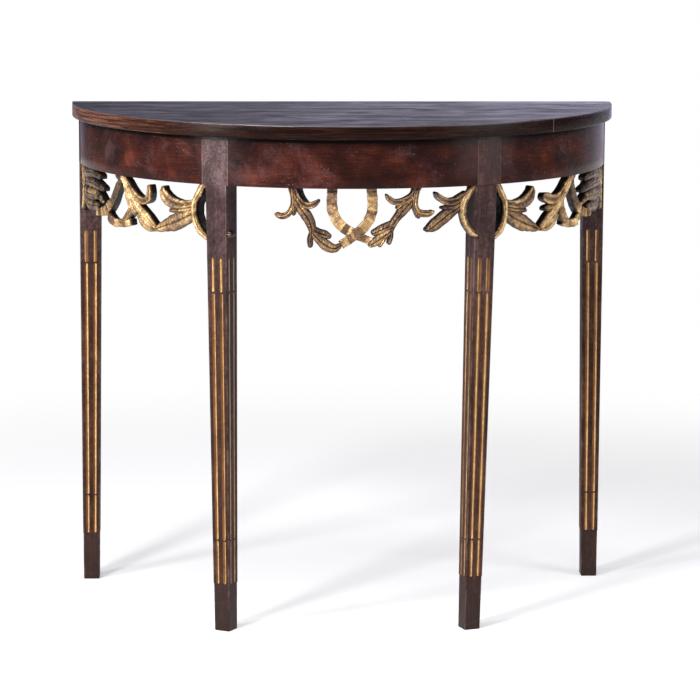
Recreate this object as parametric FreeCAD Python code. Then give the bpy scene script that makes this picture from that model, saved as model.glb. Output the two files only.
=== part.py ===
import FreeCAD, Part
import math
import os

from FreeCAD import Placement, Rotation, Vector

# Half-round side table, in millimetres. Z is up and the floor is Z = 0.
# The bowed front faces -Y, the straight back edge faces +Y, and the origin is the middle of the footprint.
# Arc positions are lengths along the bowed face from the table's middle line, positive to the right.

# Top
TOP_RADIUS = 455.0
TABLE_HEIGHT = 820.0
TOP_THICKNESS = 22.0
TOP_OVERHANG = 12.0
TOP_EDGE_BEVEL = 1.2
FRONT_BOARD_DEPTH = 138.0
TONGUE_LENGTH = 520.0
TONGUE_WIDTH = 24.0
TONGUE_THICKNESS = 7.0

# Frieze
FRIEZE_HEIGHT = 77.0
VENEER_THICKNESS = 2.0
RAIL_THICKNESS = 24.0
BACK_RAIL_THICKNESS = 22.0
BACK_RAIL_SETBACK = 2.0

# Legs
LEG_TOP_SIZE = 37.0
LEG_FOOT_SIZE = 28.0
FRONT_LEG_ANGLE = 28.9
RIGHT_SHAFT_TWIST = 9.4
FRONT_SHAFT_SETBACK = 0.5
LEFT_FOOT_LEAN = 9.3
RIGHT_FOOT_LEAN = 16.5

# Flutes: cross-section sizes are shares of the leg's width, heights are shares of the frieze's lower edge
FLUTE_WIDTH_SHARE = 0.2
FLUTE_DEPTH_SHARE = 0.07
FLUTE_OFFSET_SHARE = 0.21
FLUTE_TOP_SHARE = 0.839
FLUTE_UPPER_BREAK_SHARE = 0.763
FLUTE_LOWER_BREAK_SHARE = 0.207
FRONT_LEFT_FLUTE_BOTTOM_SHARE = 0.108
FRONT_RIGHT_FLUTE_BOTTOM_SHARE = 0.122
REAR_FLUTE_BOTTOM_SHARE = 0.114
FLUTE_BRIDGE = 4.0
GILDING_THICKNESS = 0.6

# Mortise and tenon joints
TENON_LENGTH = 14.0
TENON_THICKNESS = 10.0
TENON_SHOULDER = 11.0
TENON_ROOT = 2.0
SIDE_CLEARANCE = 0.1
END_CLEARANCE = 0.5

# Inside the frame
BEARER_OFFSET_SHARE = 2.0 / 7.0
BEARER_WIDTH = 40.0
BEARER_THICKNESS = 22.0
HOUSING_DEPTH = 8.0
GLUE_BLOCK_SIZE = 18.0
GLUE_BLOCK_LENGTH = 56.0
GLUE_BLOCK_ANGLES = (-72.0, -50.0, 0.0, 50.0, 72.0)
BACK_BLOCK_OFFSETS = (-270.0, 0.0, 270.0)
SCREW_DIAMETER = 4.0
SCREW_HEAD_DIAMETER = 8.0
SCREW_HEAD_HEIGHT = 3.0
SCREW_BITE = 14.0
FRONT_SCREW_FROM_JOINT = 43.0
BACK_SCREW_INSET = 150.0

# Carved and gilded openwork under the frieze
CARVING_THICKNESS = 17.0
CARVING_REACH = 140.0
CARVING_BLANK_DEPTH = 60.0
CARVING_BLANK_MARGIN = 1.0
CARVING_DRAWN_RADIUS = 441.0
PIN_DIAMETER = 1.6
PIN_LENGTH = 22.0

# Each carving is a set of strokes. A point is position along the bow, drop below the frieze, width.
# Positions are drawn for the radius above and stretch with the bow.
# Positions in the middle bay are measured from the table's middle line.
RIBBON_LOOP = (
    ((-32, -2, 16.5), (-32.7, 15, 17), (-32.5, 29, 17.5), (-29.5, 42, 17), (-22.5, 54, 17),
     (-11, 64.5, 16.5), (2.5, 71.5, 15.5), (14, 77.5, 13.5), (24, 81.5, 12), (33, 85, 11)),
    ((30, -2, 16), (31.5, 15, 16), (32, 29, 16), (30, 41, 16), (24, 54, 16), (16, 63.5, 16),
     (6, 71.5, 15.5), (-5, 80, 15), (-18, 89, 14)),
)
LEFT_SPRAY = (
    ((-97, -2, 12), (-94.5, 13, 9), (-94.5, 26, 9), (-98.5, 36.5, 10), (-106, 43.5, 10), (-115.5, 45, 9),
     (-122, 42, 5)),
    ((-94, 0, 10), (-87, 15.5, 9.5), (-79, 24, 10), (-70, 27.5, 11), (-61.5, 25.5, 10.5), (-55, 21, 7)),
    ((-92, 16, 6), (-93, 33, 8), (-93.5, 41.5, 5)),
    ((-91, 17, 11), (-83.5, 30, 16), (-75, 41, 18), (-68, 52, 17), (-64.5, 63, 13), (-64, 73, 9)),
    ((-65, 64, 11), (-54, 70, 13.5), (-44, 73, 13.5), (-37.5, 75.5, 9)),
    ((-66, 71, 7), (-67.5, 81, 10), (-67, 90, 8.5)),
    ((-62, 71, 9), (-53, 81, 14), (-43.5, 88.5, 17), (-34.5, 93.5, 16), (-27, 94.5, 13),
     (-21.5, 91.5, 9)),
    ((-86.5, -2, 11), (-83.5, 9, 10), (-79, 17, 9), (-73, 22.5, 6)),
)
RIGHT_SPRAY = (
    ((105, -2, 14), (98.5, 11.5, 10.5), (88.5, 18.5, 11), (76.5, 22.5, 11), (66, 21.5, 10),
     (58.5, 16.5, 8.5), (55.5, 12, 5)),
    ((104, 5, 9), (101, 19, 9.5), (101.5, 30, 9.5), (106.5, 39, 11.5), (115.5, 41.5, 11.5),
     (124.5, 41.5, 10), (131, 39, 5)),
    ((99, 16, 11), (90.5, 26, 15), (82, 35, 16.5), (74.5, 44, 14), (67.5, 53, 12), (62, 63, 12),
     (60, 73, 10)),
    ((100.5, 31, 7), (104.5, 41, 7), (107, 47, 5)),
    ((86, 21, 9), (76, 28.5, 7.5), (72, 32, 4)),
    ((66, 56, 11), (54.5, 61.5, 14), (43.5, 66.5, 14), (35, 70, 10)),
    ((60.5, 68, 11), (48.5, 76.5, 14), (37.5, 84, 14.5), (29.5, 88.5, 9.5)),
    ((57, 72, 6), (49.5, 82, 7), (44, 90, 6.5)),
    ((63, 70, 7), (61, 80, 8), (59, 86, 7)),
)
# Scroll leaves are measured from the side of the leg that they stand against.
MIDDLE_SCROLL = (
    ((-2, -4, 14), (5, 5, 12), (12, 13.5, 12), (18, 23.5, 12.5), (21.5, 35.5, 13), (21.5, 46.5, 13),
     (18, 58, 12.5), (12, 67.5, 12), (4, 75.5, 11), (-3, 79.5, 9)),
    ((13, 12, 9), (20, 16.5, 11.5), (32, 22.5, 11.5), (45, 24.5, 12), (55.5, 21, 11.5), (63, 16, 9.5),
     (66.5, 11, 6)),
    ((22, 30, 10), (42, 33.5, 9.5), (55, 34, 6)),
    ((25, 31.5, 12), (46, 44, 19), (60.5, 54, 20), (72.5, 62.5, 18), (81.5, 67, 9)),
)
SIDE_SCROLL = (
    ((2, -4, 13), (8.5, 4, 12.5), (14.5, 15, 12), (21, 26, 11), (23.5, 38, 10.5), (23, 51, 10.5),
     (19.5, 64, 11), (12, 76, 11), (1, 85, 9)),
    ((12, 15, 9), (25, 30, 10), (40, 34.5, 12.5), (54, 35.5, 16.5), (67.5, 33, 20), (78, 26.5, 19.5),
     (83, 18.5, 14.5), (83.5, 13, 9)),
    ((24, 40, 10), (46, 45, 13), (68, 46.5, 8)),
    ((22, 46, 15), (37, 54.5, 23), (52, 61.5, 27), (66, 67.5, 26), (80, 72.5, 20), (94, 78, 12),
     (101, 80, 5)),
)
REAR_SCROLL = (
    ((0, -4, 12), (8, 6, 11), (18, 17, 10), (26, 30, 10), (28, 42, 10), (25, 54, 10), (16, 65, 10),
     (6, 73, 9), (-3, 78, 8)),
    ((22, 18, 15), (55, 11, 19), (85, 8, 19), (120, 7, 17), (156, 11, 10)),
    ((26, 30, 16), (60, 26, 20), (95, 25, 20), (132, 26, 18), (171, 30, 10)),
    ((27, 42, 16), (70, 44, 20), (110, 43.5, 20), (146, 42, 15), (165, 46, 10), (178, 51, 6)),
    ((25, 54, 14), (65, 62, 20), (105, 62, 20), (146, 60, 11)),
)
SCROLL_STUB = (((-3, 78, 14), (1, 78, 13), (3, 78, 10)),)
# The side bays' spray and ribbon are measured from the middle of their bay, positive towards the back.
SIDE_STEM = ((-24, -2, 20), (-32.5, 13, 12.5), (-41, 23, 12), (-49.5, 32, 12), (-59.5, 40.5, 13),
             (-69.5, 50, 15), (-81, 59, 18), (-94, 67.5, 17), (-108, 76, 9))
SIDE_LOWER_LEAF = ((-68, 59, 13), (-79.5, 70, 18), (-94, 77, 16), (-107, 80, 8))
LEFT_BAY_SPRAY = (
    SIDE_STEM,
    ((-33.5, 8, 10), (-45.5, 19.5, 11), (-56.5, 28.5, 12), (-68.5, 34.5, 12), (-81.5, 36.5, 12.5),
     (-92, 32, 12), (-95, 23, 11), (-94.5, 13, 8)),
    ((-30, 12, 9), (-35, 24, 13), (-41, 35, 18), (-48, 46, 19), (-57, 56, 14)),
    ((-55.5, 46, 10), (-45, 56, 14), (-34, 66, 14), (-24, 74, 10)),
    SIDE_LOWER_LEAF,
)
RIGHT_BAY_SPRAY = (
    SIDE_STEM,
    ((-33.5, 8, 10), (-45.5, 19.5, 11), (-56.5, 28.5, 13), (-68.5, 34, 15), (-82, 34.5, 17),
     (-97, 30, 17)),
    ((-53, 38, 10), (-50, 55, 18), (-43, 67, 17), (-33, 74, 11)),
    ((-58, 40, 11), (-74, 46, 13), (-95, 48.5, 10)),
    SIDE_LOWER_LEAF,
)
LEFT_BAY_RIBBON = (
    ((-8, -2, 26), (-12, 10, 14), (-4, 21, 14.5), (5, 33, 15), (12, 44, 16), (20, 52, 16), (32, 61, 15.5),
     (50, 66.5, 14.5), (66, 69, 14), (76, 69, 13)),
    ((-46, 74, 11), (-28, 78, 12), (-8, 80, 13), (10, 80, 13.5), (23, 74.5, 12.5), (34, 66, 11)),
)
RIGHT_BAY_RIBBON = (
    ((-13, -2, 22), (-17, 10, 15), (-14.5, 22, 16), (-8.5, 34, 17), (-2, 44, 17.5), (5, 52.5, 17),
     (16, 61, 15.5), (35, 67, 14), (57.5, 69, 14), (70, 69, 13)),
    ((-46, 74, 11), (-32.5, 78, 13), (-17.5, 80, 13), (-1.5, 79.5, 13.5), (9, 74, 13), (20, 65, 11)),
)
# The left bay's scroll leaves are longer at the front and shorter at the back than the right bay's.
LEFT_FRONT_SCROLL_STRETCH = 1.08
LEFT_REAR_SCROLL_STRETCH = 0.85
MIDDLE_PIN_ARCS = (-95.0, -32.0, 31.0, 102.0)
MIDDLE_SCROLL_PIN_OFFSET = 5.5
SCROLL_PIN_OFFSET = 8.2
SIDE_SPRAY_PIN_OFFSET = -29.0

# Sizes that follow from the ones above
BACK_Y = TOP_RADIUS / 2.0
FRIEZE_RADIUS = TOP_RADIUS - TOP_OVERHANG
CORE_RADIUS = FRIEZE_RADIUS - VENEER_THICKNESS
RAIL_INNER_RADIUS = CORE_RADIUS - RAIL_THICKNESS
RAIL_MIDDLE_RADIUS = CORE_RADIUS - RAIL_THICKNESS / 2.0
CARVING_MIDDLE_RADIUS = CORE_RADIUS - CARVING_THICKNESS / 2.0
TOP_UNDERSIDE = TABLE_HEIGHT - TOP_THICKNESS
FRIEZE_BOTTOM = TOP_UNDERSIDE - FRIEZE_HEIGHT
FLUTE_TOP = FLUTE_TOP_SHARE * FRIEZE_BOTTOM
FLUTE_UPPER_BREAK = FLUTE_UPPER_BREAK_SHARE * FRIEZE_BOTTOM
FLUTE_LOWER_BREAK = FLUTE_LOWER_BREAK_SHARE * FRIEZE_BOTTOM
BEARER_OFFSET = BEARER_OFFSET_SHARE * TOP_RADIUS
BOW_STRETCH = CORE_RADIUS / CARVING_DRAWN_RADIUS
BEARER_BOTTOM = TOP_UNDERSIDE - BEARER_THICKNESS
BOARD_JOINT_Y = FRONT_BOARD_DEPTH - BACK_Y
BACK_RAIL_REAR_Y = BACK_Y - BACK_RAIL_SETBACK
BACK_RAIL_FRONT_Y = BACK_RAIL_REAR_Y - BACK_RAIL_THICKNESS
CENTRE = Vector(0, BACK_Y, 0)
UP = Vector(0, 0, 1)

LEFT, RIGHT = -1, 1
SIDE_NAMES = {LEFT: "left", RIGHT: "right"}


def bow_point(radius, angle, z):
    """Point on a bow of the given radius, at an angle in degrees from the front's middle."""
    turn = math.radians(angle)
    return CENTRE + Vector(radius * math.sin(turn), -radius * math.cos(turn), z)


def arc_angle(arc):
    """Angle in degrees of a length along the carvings' front."""
    return math.degrees(arc / CORE_RADIUS)


def bow_sector(inner, outer, bottom, top, start, end):
    """Curved bar between two radii, two heights and two angles."""
    middle = (start + end) / 2.0
    edges = [
        Part.Arc(bow_point(outer, start, bottom), bow_point(outer, middle, bottom),
                 bow_point(outer, end, bottom)).toShape(),
        Part.makeLine(bow_point(outer, end, bottom), bow_point(inner, end, bottom)),
        Part.Arc(bow_point(inner, end, bottom), bow_point(inner, middle, bottom),
                 bow_point(inner, start, bottom)).toShape(),
        Part.makeLine(bow_point(inner, start, bottom), bow_point(outer, start, bottom)),
    ]
    return Part.Face(Part.Wire(edges)).extrude(UP * (top - bottom))


def box_between(low, high):
    """Straight-sided block between two opposite corners."""
    size = high - low
    return Part.makeBox(size.x, size.y, size.z, low)


def upright(diameter, foot, length):
    """Vertical round bar."""
    return Part.makeCylinder(diameter / 2.0, length, foot, UP)


def put(shape, place):
    """Copy of a shape moved to a place."""
    placed = shape.copy()
    placed.Placement = place.multiply(placed.Placement)
    return placed


class Leg:
    """A square tapered leg, drawn with X along its outer face and Y into the leg, then put in place.

    A front leg's head follows the bow, and its shaft can be twisted against the head.
    """

    def __init__(self, anchor, angle, twist, foot_lean, foot_inset, flute_bottom_share, rear):
        self.head_place = Placement(anchor, Rotation(UP, angle))
        self.shaft_place = Placement(anchor, Rotation(UP, angle - twist))
        self.foot_lean = foot_lean
        self.foot_inset = foot_inset
        self.flute_bottom = flute_bottom_share * FRIEZE_BOTTOM
        self.rear = rear
        self.setback = 0.0 if rear else FRONT_SHAFT_SETBACK
        self.mortises = []
        self.blank = self.make_blank()

    def section(self, z):
        """Middle of the outer face and width of the leg at a height below the frieze."""
        share = (FRIEZE_BOTTOM - z) / FRIEZE_BOTTOM
        size = LEG_TOP_SIZE + (LEG_FOOT_SIZE - LEG_TOP_SIZE) * share
        return Vector(self.foot_lean * share, self.setback + self.foot_inset * share, z), size

    def outline(self, z):
        """Square outline of the leg at a height below the frieze."""
        middle, size = self.section(z)
        half = size / 2.0
        corners = [middle + Vector(x, y, 0) for x, y in ((-half, 0), (half, 0), (half, size), (-half, size))]
        return Part.makePolygon(corners + corners[:1])

    def make_blank(self):
        """Leg with its head block, before the flutes and mortises are cut."""
        shaft = Part.makeLoft([self.outline(0.0), self.outline(FRIEZE_BOTTOM)], True, True)
        half = LEG_TOP_SIZE / 2.0
        face = 0.0 if self.rear else -VENEER_THICKNESS
        head = box_between(Vector(-half, face, FRIEZE_BOTTOM), Vector(half, LEG_TOP_SIZE, TOP_UNDERSIDE))
        head = put(head, self.head_place)
        if not self.rear:
            head = head.common(FRIEZE_DISC)
        return put(shaft, self.shaft_place).fuse(head).removeSplitter()

    def flute_axes(self, z):
        """Middle of each flute on the leg's faces at a height, with the way out of that face."""
        middle, size = self.section(z)
        faces = [(Vector(0, 0, 0), Vector(1, 0, 0), Vector(0, -1, 0)),
                 (Vector(size / 2.0, size / 2.0, 0), Vector(0, 1, 0), Vector(1, 0, 0)),
                 (Vector(-size / 2.0, size / 2.0, 0), Vector(0, 1, 0), Vector(-1, 0, 0))]
        if not self.rear:
            faces.append((Vector(0, size, 0), Vector(1, 0, 0), Vector(0, 1, 0)))
        axes = []
        for face_middle, across, outward in faces:
            for side in (LEFT, RIGHT):
                axes.append((middle + face_middle + across * (side * FLUTE_OFFSET_SHARE * size), outward))
        return axes, size

    def flute_cutters(self, inset):
        """Slim cones that cut the flutes, made smaller by an inset to hollow the gilding."""
        cutters = []
        stretches = ((FLUTE_UPPER_BREAK + FLUTE_BRIDGE / 2.0, FLUTE_TOP),
                     (FLUTE_LOWER_BREAK + FLUTE_BRIDGE / 2.0, FLUTE_UPPER_BREAK - FLUTE_BRIDGE / 2.0),
                     (self.flute_bottom, FLUTE_LOWER_BREAK - FLUTE_BRIDGE / 2.0))
        for bottom, top in stretches:
            low_axes, low_size = self.flute_axes(bottom)
            high_axes, high_size = self.flute_axes(top)
            for (low, outward), (high, _) in zip(low_axes, high_axes):
                low_radius, low_lift = flute_radius(low_size)
                high_radius, high_lift = flute_radius(high_size)
                start = low + outward * low_lift
                axis = high + outward * high_lift - start
                cutters.append(Part.makeCone(low_radius - inset, high_radius - inset, axis.Length, start,
                                             axis))
        return cutters

    def gilding(self):
        """Thin gilded lining of every flute."""
        linings = []
        for outer, inner in zip(self.flute_cutters(0.0), self.flute_cutters(GILDING_THICKNESS)):
            lining = put(outer, self.shaft_place).common(self.blank)
            linings.append(lining.cut(put(inner, self.shaft_place)))
        return Part.makeCompound([solid for lining in linings for solid in lining.Solids])

    def tenon(self, low, high, direction, root):
        """Tenon that enters the leg; its mortise is noted with the clearances."""
        loose = Vector(SIDE_CLEARANCE, SIDE_CLEARANCE, SIDE_CLEARANCE)
        deeper = direction * (END_CLEARANCE - SIDE_CLEARANCE)
        mortise = box_between(low - loose, high + loose)
        hollow = mortise.fuse(mortise.translated(deeper)).removeSplitter()
        self.mortises.append(put(hollow, self.head_place))
        tongue = box_between(low, high)
        return put(tongue.fuse(tongue.translated(direction * -root)).removeSplitter(), self.head_place)

    def side_tenon(self, side, y):
        """Tenon into the left or right face of the head block, with its middle at a depth from the front."""
        edge = side * LEG_TOP_SIZE / 2.0
        end = edge - side * TENON_LENGTH
        low = Vector(min(edge, end), y - TENON_THICKNESS / 2.0, FRIEZE_BOTTOM + TENON_SHOULDER)
        high = Vector(max(edge, end), y + TENON_THICKNESS / 2.0, TOP_UNDERSIDE - TENON_SHOULDER)
        return self.tenon(low, high, Vector(-side, 0, 0), TENON_ROOT)

    def front_tenon(self, x):
        """Tenon into the front face of the head block."""
        low = Vector(x - TENON_THICKNESS / 2.0, 0, FRIEZE_BOTTOM + TENON_SHOULDER)
        high = Vector(x + TENON_THICKNESS / 2.0, TENON_LENGTH, TOP_UNDERSIDE - TENON_SHOULDER)
        return self.tenon(low, high, Vector(0, 1, 0), TENON_ROOT)

    def finished(self):
        """Leg with its flutes and mortises."""
        cutters = [put(cutter, self.shaft_place) for cutter in self.flute_cutters(0.0)]
        return self.blank.cut(cutters).cut(self.mortises)


def flute_radius(size):
    """Radius of a flute's round bottom and how far its middle lies outside the face, for a leg width."""
    half_width = FLUTE_WIDTH_SHARE * size / 2.0
    depth = FLUTE_DEPTH_SHARE * size
    radius = (half_width ** 2 + depth ** 2) / (2.0 * depth)
    return radius, radius - depth


def curve_through(points):
    """Smooth edge through points."""
    curve = Part.BSplineCurve()
    curve.interpolate(points)
    return curve.toShape()


def stroke_face(points, round_tip):
    """Flat shape that follows a middle line at the given widths."""
    left = []
    right = []
    for index, (x, y, width) in enumerate(points):
        before = points[max(index - 1, 0)]
        after = points[min(index + 1, len(points) - 1)]
        along = Vector(after[0] - before[0], after[1] - before[1], 0).normalize()
        across = Vector(-along.y, along.x, 0) * (width / 2.0)
        left.append(Vector(x, y, 0) + across)
        right.append(Vector(x, y, 0) - across)
    tip_width = points[-1][2]
    tip = (left[-1] + right[-1]) * 0.5 + along * (tip_width / 2.0)
    end = Part.makeLine(left[-1], right[-1])
    if round_tip:
        end = Part.Arc(left[-1], tip, right[-1]).toShape()
    edges = [curve_through(left), end, curve_through(right[::-1]), Part.makeLine(right[0], left[0])]
    return Part.Face(Part.Wire(edges))


def carving(strokes, anchor_arc, direction, round_tip=True, stretch=1.0):
    """Pierced carving that hangs under the frieze and follows its bow."""
    along = direction * BOW_STRETCH * stretch
    arcs = [anchor_arc + along * point[0] for stroke in strokes for point in stroke]
    middle = (min(arcs) + max(arcs)) / 2.0
    faces = []
    for stroke in strokes:
        flat = []
        for across, drop, width in stroke:
            turn = (anchor_arc + along * across - middle) / CORE_RADIUS
            flat.append((CORE_RADIUS * math.sin(turn), -drop, width))
        faces.append(stroke_face(flat, round_tip))
    sheet = faces[0]
    if len(faces) > 1:
        sheet = faces[0].fuse(faces[1:]).removeSplitter()
    blank = sheet.extrude(Vector(0, 0, -CARVING_BLANK_DEPTH))
    angle = arc_angle(middle)
    turn_up = Rotation(UP, angle).multiply(Rotation(Vector(1, 0, 0), 90.0))
    blank.Placement = Placement(bow_point(CORE_RADIUS + CARVING_BLANK_MARGIN, angle, FRIEZE_BOTTOM), turn_up)
    return blank.common(CARVING_SHELL)


def carving_pin(arc):
    """Upright pin, half in the carving and half in the rail above it."""
    foot = bow_point(CARVING_MIDDLE_RADIUS, arc_angle(arc), FRIEZE_BOTTOM - PIN_LENGTH / 2.0)
    return upright(PIN_DIAMETER, foot, PIN_LENGTH)


FRIEZE_DISC = Part.makeCylinder(FRIEZE_RADIUS, TABLE_HEIGHT, CENTRE, UP)
CARVING_SHELL = bow_sector(CORE_RADIUS - CARVING_THICKNESS, CORE_RADIUS,
                           FRIEZE_BOTTOM - CARVING_REACH, FRIEZE_BOTTOM, -90.0, 90.0)
nodes = {}

# Legs: the front pair faces out from the bow, its right shaft twisted a little, the rear pair faces forward
rear_y = BACK_Y - LEG_TOP_SIZE
rear_x = FRIEZE_RADIUS - LEG_TOP_SIZE / 2.0
rear_lean = (LEG_TOP_SIZE - LEG_FOOT_SIZE) / 2.0
rear_inset = LEG_TOP_SIZE - LEG_FOOT_SIZE
front_left_anchor = bow_point(FRIEZE_RADIUS, -FRONT_LEG_ANGLE, 0)
front_right_anchor = bow_point(FRIEZE_RADIUS, FRONT_LEG_ANGLE, 0)
legs = {
    "front_left_leg": Leg(front_left_anchor, -FRONT_LEG_ANGLE, 0.0, LEFT_FOOT_LEAN, 0.0,
                          FRONT_LEFT_FLUTE_BOTTOM_SHARE, False),
    "front_right_leg": Leg(front_right_anchor, FRONT_LEG_ANGLE, RIGHT_SHAFT_TWIST, -RIGHT_FOOT_LEAN, 0.0,
                           FRONT_RIGHT_FLUTE_BOTTOM_SHARE, False),
    "rear_left_leg": Leg(Vector(-rear_x, rear_y, 0), 0.0, 0.0, -rear_lean, rear_inset,
                         REAR_FLUTE_BOTTOM_SHARE, True),
    "rear_right_leg": Leg(Vector(rear_x, rear_y, 0), 0.0, 0.0, rear_lean, rear_inset,
                          REAR_FLUTE_BOTTOM_SHARE, True),
}
leg_blanks = [leg.blank for leg in legs.values()]

# Rails with their tenons
rail_depth = FRIEZE_RADIUS - math.sqrt(RAIL_MIDDLE_RADIUS ** 2 - (LEG_TOP_SIZE / 2.0) ** 2)
rear_tenon_x = math.sqrt(RAIL_MIDDLE_RADIUS ** 2 - LEG_TOP_SIZE ** 2) - rear_x
back_rail_depth = LEG_TOP_SIZE - BACK_RAIL_SETBACK - BACK_RAIL_THICKNESS / 2.0
whole_rail = bow_sector(RAIL_INNER_RADIUS, CORE_RADIUS, FRIEZE_BOTTOM, TOP_UNDERSIDE, -90.0, 90.0)
rail_parts = sorted(whole_rail.cut(leg_blanks).Solids, key=lambda solid: solid.CenterOfMass.x)
left_rail, front_rail, right_rail = rail_parts
front_rail = front_rail.fuse([legs["front_left_leg"].side_tenon(RIGHT, rail_depth),
                              legs["front_right_leg"].side_tenon(LEFT, rail_depth)])
left_rail = left_rail.fuse([legs["front_left_leg"].side_tenon(LEFT, rail_depth),
                            legs["rear_left_leg"].front_tenon(-rear_tenon_x)])
right_rail = right_rail.fuse([legs["front_right_leg"].side_tenon(RIGHT, rail_depth),
                              legs["rear_right_leg"].front_tenon(rear_tenon_x)])
back_rail_end = FRIEZE_RADIUS - LEG_TOP_SIZE
back_rail = box_between(Vector(-back_rail_end, BACK_RAIL_FRONT_Y, FRIEZE_BOTTOM),
                        Vector(back_rail_end, BACK_RAIL_REAR_Y, TOP_UNDERSIDE))
back_rail = back_rail.fuse([legs["rear_left_leg"].side_tenon(RIGHT, back_rail_depth),
                            legs["rear_right_leg"].side_tenon(LEFT, back_rail_depth)])

# Veneer on the bowed rails, between the leg heads
whole_veneer = bow_sector(CORE_RADIUS, FRIEZE_RADIUS, FRIEZE_BOTTOM, TOP_UNDERSIDE, -90.0, 90.0)
veneer_parts = sorted(whole_veneer.cut(leg_blanks).Solids, key=lambda solid: solid.CenterOfMass.x)
for side_name, veneer in zip(("left", "front", "right"), veneer_parts):
    nodes[side_name + "_veneer"] = veneer

# Bearers from the front rail to the back rail, housed in both, flush with the top of the frame
bow_disc = Part.makeCylinder(RAIL_INNER_RADIUS + HOUSING_DEPTH, TABLE_HEIGHT, CENTRE, UP)
bearers = {}
for side, side_name in SIDE_NAMES.items():
    bearer_x = side * BEARER_OFFSET
    bar = box_between(Vector(bearer_x - BEARER_WIDTH / 2.0, -BACK_Y, BEARER_BOTTOM),
                      Vector(bearer_x + BEARER_WIDTH / 2.0, BACK_RAIL_FRONT_Y + HOUSING_DEPTH, TOP_UNDERSIDE))
    bearers[side] = bar.common(bow_disc)
front_rail = front_rail.cut(list(bearers.values()))
back_rail = back_rail.cut(list(bearers.values()))

# Glue blocks in the corner between the rails and the top
blocks = []
for angle in GLUE_BLOCK_ANGLES:
    spread = math.degrees(GLUE_BLOCK_LENGTH / RAIL_INNER_RADIUS) / 2.0
    blocks.append(bow_sector(RAIL_INNER_RADIUS - GLUE_BLOCK_SIZE, RAIL_INNER_RADIUS,
                             TOP_UNDERSIDE - GLUE_BLOCK_SIZE, TOP_UNDERSIDE, angle - spread, angle + spread))
for offset in BACK_BLOCK_OFFSETS:
    block_size = Vector(GLUE_BLOCK_LENGTH, GLUE_BLOCK_SIZE, GLUE_BLOCK_SIZE)
    corner = Vector(offset + GLUE_BLOCK_LENGTH / 2.0, BACK_RAIL_FRONT_Y, TOP_UNDERSIDE)
    blocks.append(box_between(corner - block_size, corner))
nodes["glue_blocks"] = Part.makeCompound(blocks)

# Top in two boards with a loose tongue in their joint, screwed up through the bearers
disc = Part.makeCylinder(TOP_RADIUS, TOP_THICKNESS, CENTRE + UP * TOP_UNDERSIDE, UP)
rims = [edge for edge in disc.Edges if edge.isClosed()]
disc = disc.makeChamfer(TOP_EDGE_BEVEL, rims)
beyond = TOP_RADIUS + TOP_OVERHANG
above = TABLE_HEIGHT + TOP_THICKNESS
front_zone = box_between(Vector(-beyond, -beyond, FRIEZE_BOTTOM), Vector(beyond, BOARD_JOINT_Y, above))
back_zone = box_between(Vector(-beyond, BOARD_JOINT_Y, FRIEZE_BOTTOM), Vector(beyond, BACK_Y, above))
tongue_middle = Vector(0, BOARD_JOINT_Y, TOP_UNDERSIDE + TOP_THICKNESS / 2.0)
tongue_half = Vector(TONGUE_LENGTH / 2.0, TONGUE_WIDTH / 2.0, TONGUE_THICKNESS / 2.0)
tongue = box_between(tongue_middle - tongue_half, tongue_middle + tongue_half)
screws = []
for side in SIDE_NAMES:
    for screw_y in (BOARD_JOINT_Y - FRONT_SCREW_FROM_JOINT, BACK_Y - BACK_SCREW_INSET):
        foot = Vector(side * BEARER_OFFSET, screw_y, BEARER_BOTTOM)
        head = Part.makeCone(SCREW_HEAD_DIAMETER / 2.0, SCREW_DIAMETER / 2.0, SCREW_HEAD_HEIGHT, foot, UP)
        shank = upright(SCREW_DIAMETER, foot, BEARER_THICKNESS + SCREW_BITE)
        screws.append(head.fuse(shank).removeSplitter())
nodes["top_front_board"] = disc.common(front_zone).cut([tongue] + screws)
nodes["top_back_board"] = disc.common(back_zone).cut([tongue] + screws)
nodes["top_tongue"] = tongue
nodes["top_screws"] = Part.makeCompound(screws)
for side, side_name in SIDE_NAMES.items():
    nodes[side_name + "_bearer"] = bearers[side].cut(screws)

# Carvings of the middle bay
leg_arc = math.radians(FRONT_LEG_ANGLE) * CORE_RADIUS
inner_side_arc = leg_arc - LEG_TOP_SIZE / 2.0
outer_side_arc = leg_arc + LEG_TOP_SIZE / 2.0
rear_face_arc = math.acos(LEG_TOP_SIZE / CORE_RADIUS) * CORE_RADIUS
side_bay_arc = (leg_arc + math.radians(90.0) * CORE_RADIUS) / 2.0
carvings = {"left_spray": carving(LEFT_SPRAY, 0.0, RIGHT), "right_spray": carving(RIGHT_SPRAY, 0.0, RIGHT)}
carvings["ribbon_loop"] = carving(RIBBON_LOOP, 0.0, RIGHT, False).cut(list(carvings.values()))
middle_scroll = carving(MIDDLE_SCROLL, inner_side_arc, LEFT).cut(legs["front_right_leg"].blank)
carvings["middle_scroll"] = middle_scroll.cut(carvings["right_spray"])
scroll_stub = carving(SCROLL_STUB, -inner_side_arc, RIGHT, False)
carvings["scroll_stub"] = scroll_stub.cut(legs["front_left_leg"].blank)
pin_arcs = [BOW_STRETCH * arc for arc in MIDDLE_PIN_ARCS]
pin_arcs.append(inner_side_arc - BOW_STRETCH * MIDDLE_SCROLL_PIN_OFFSET)

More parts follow.
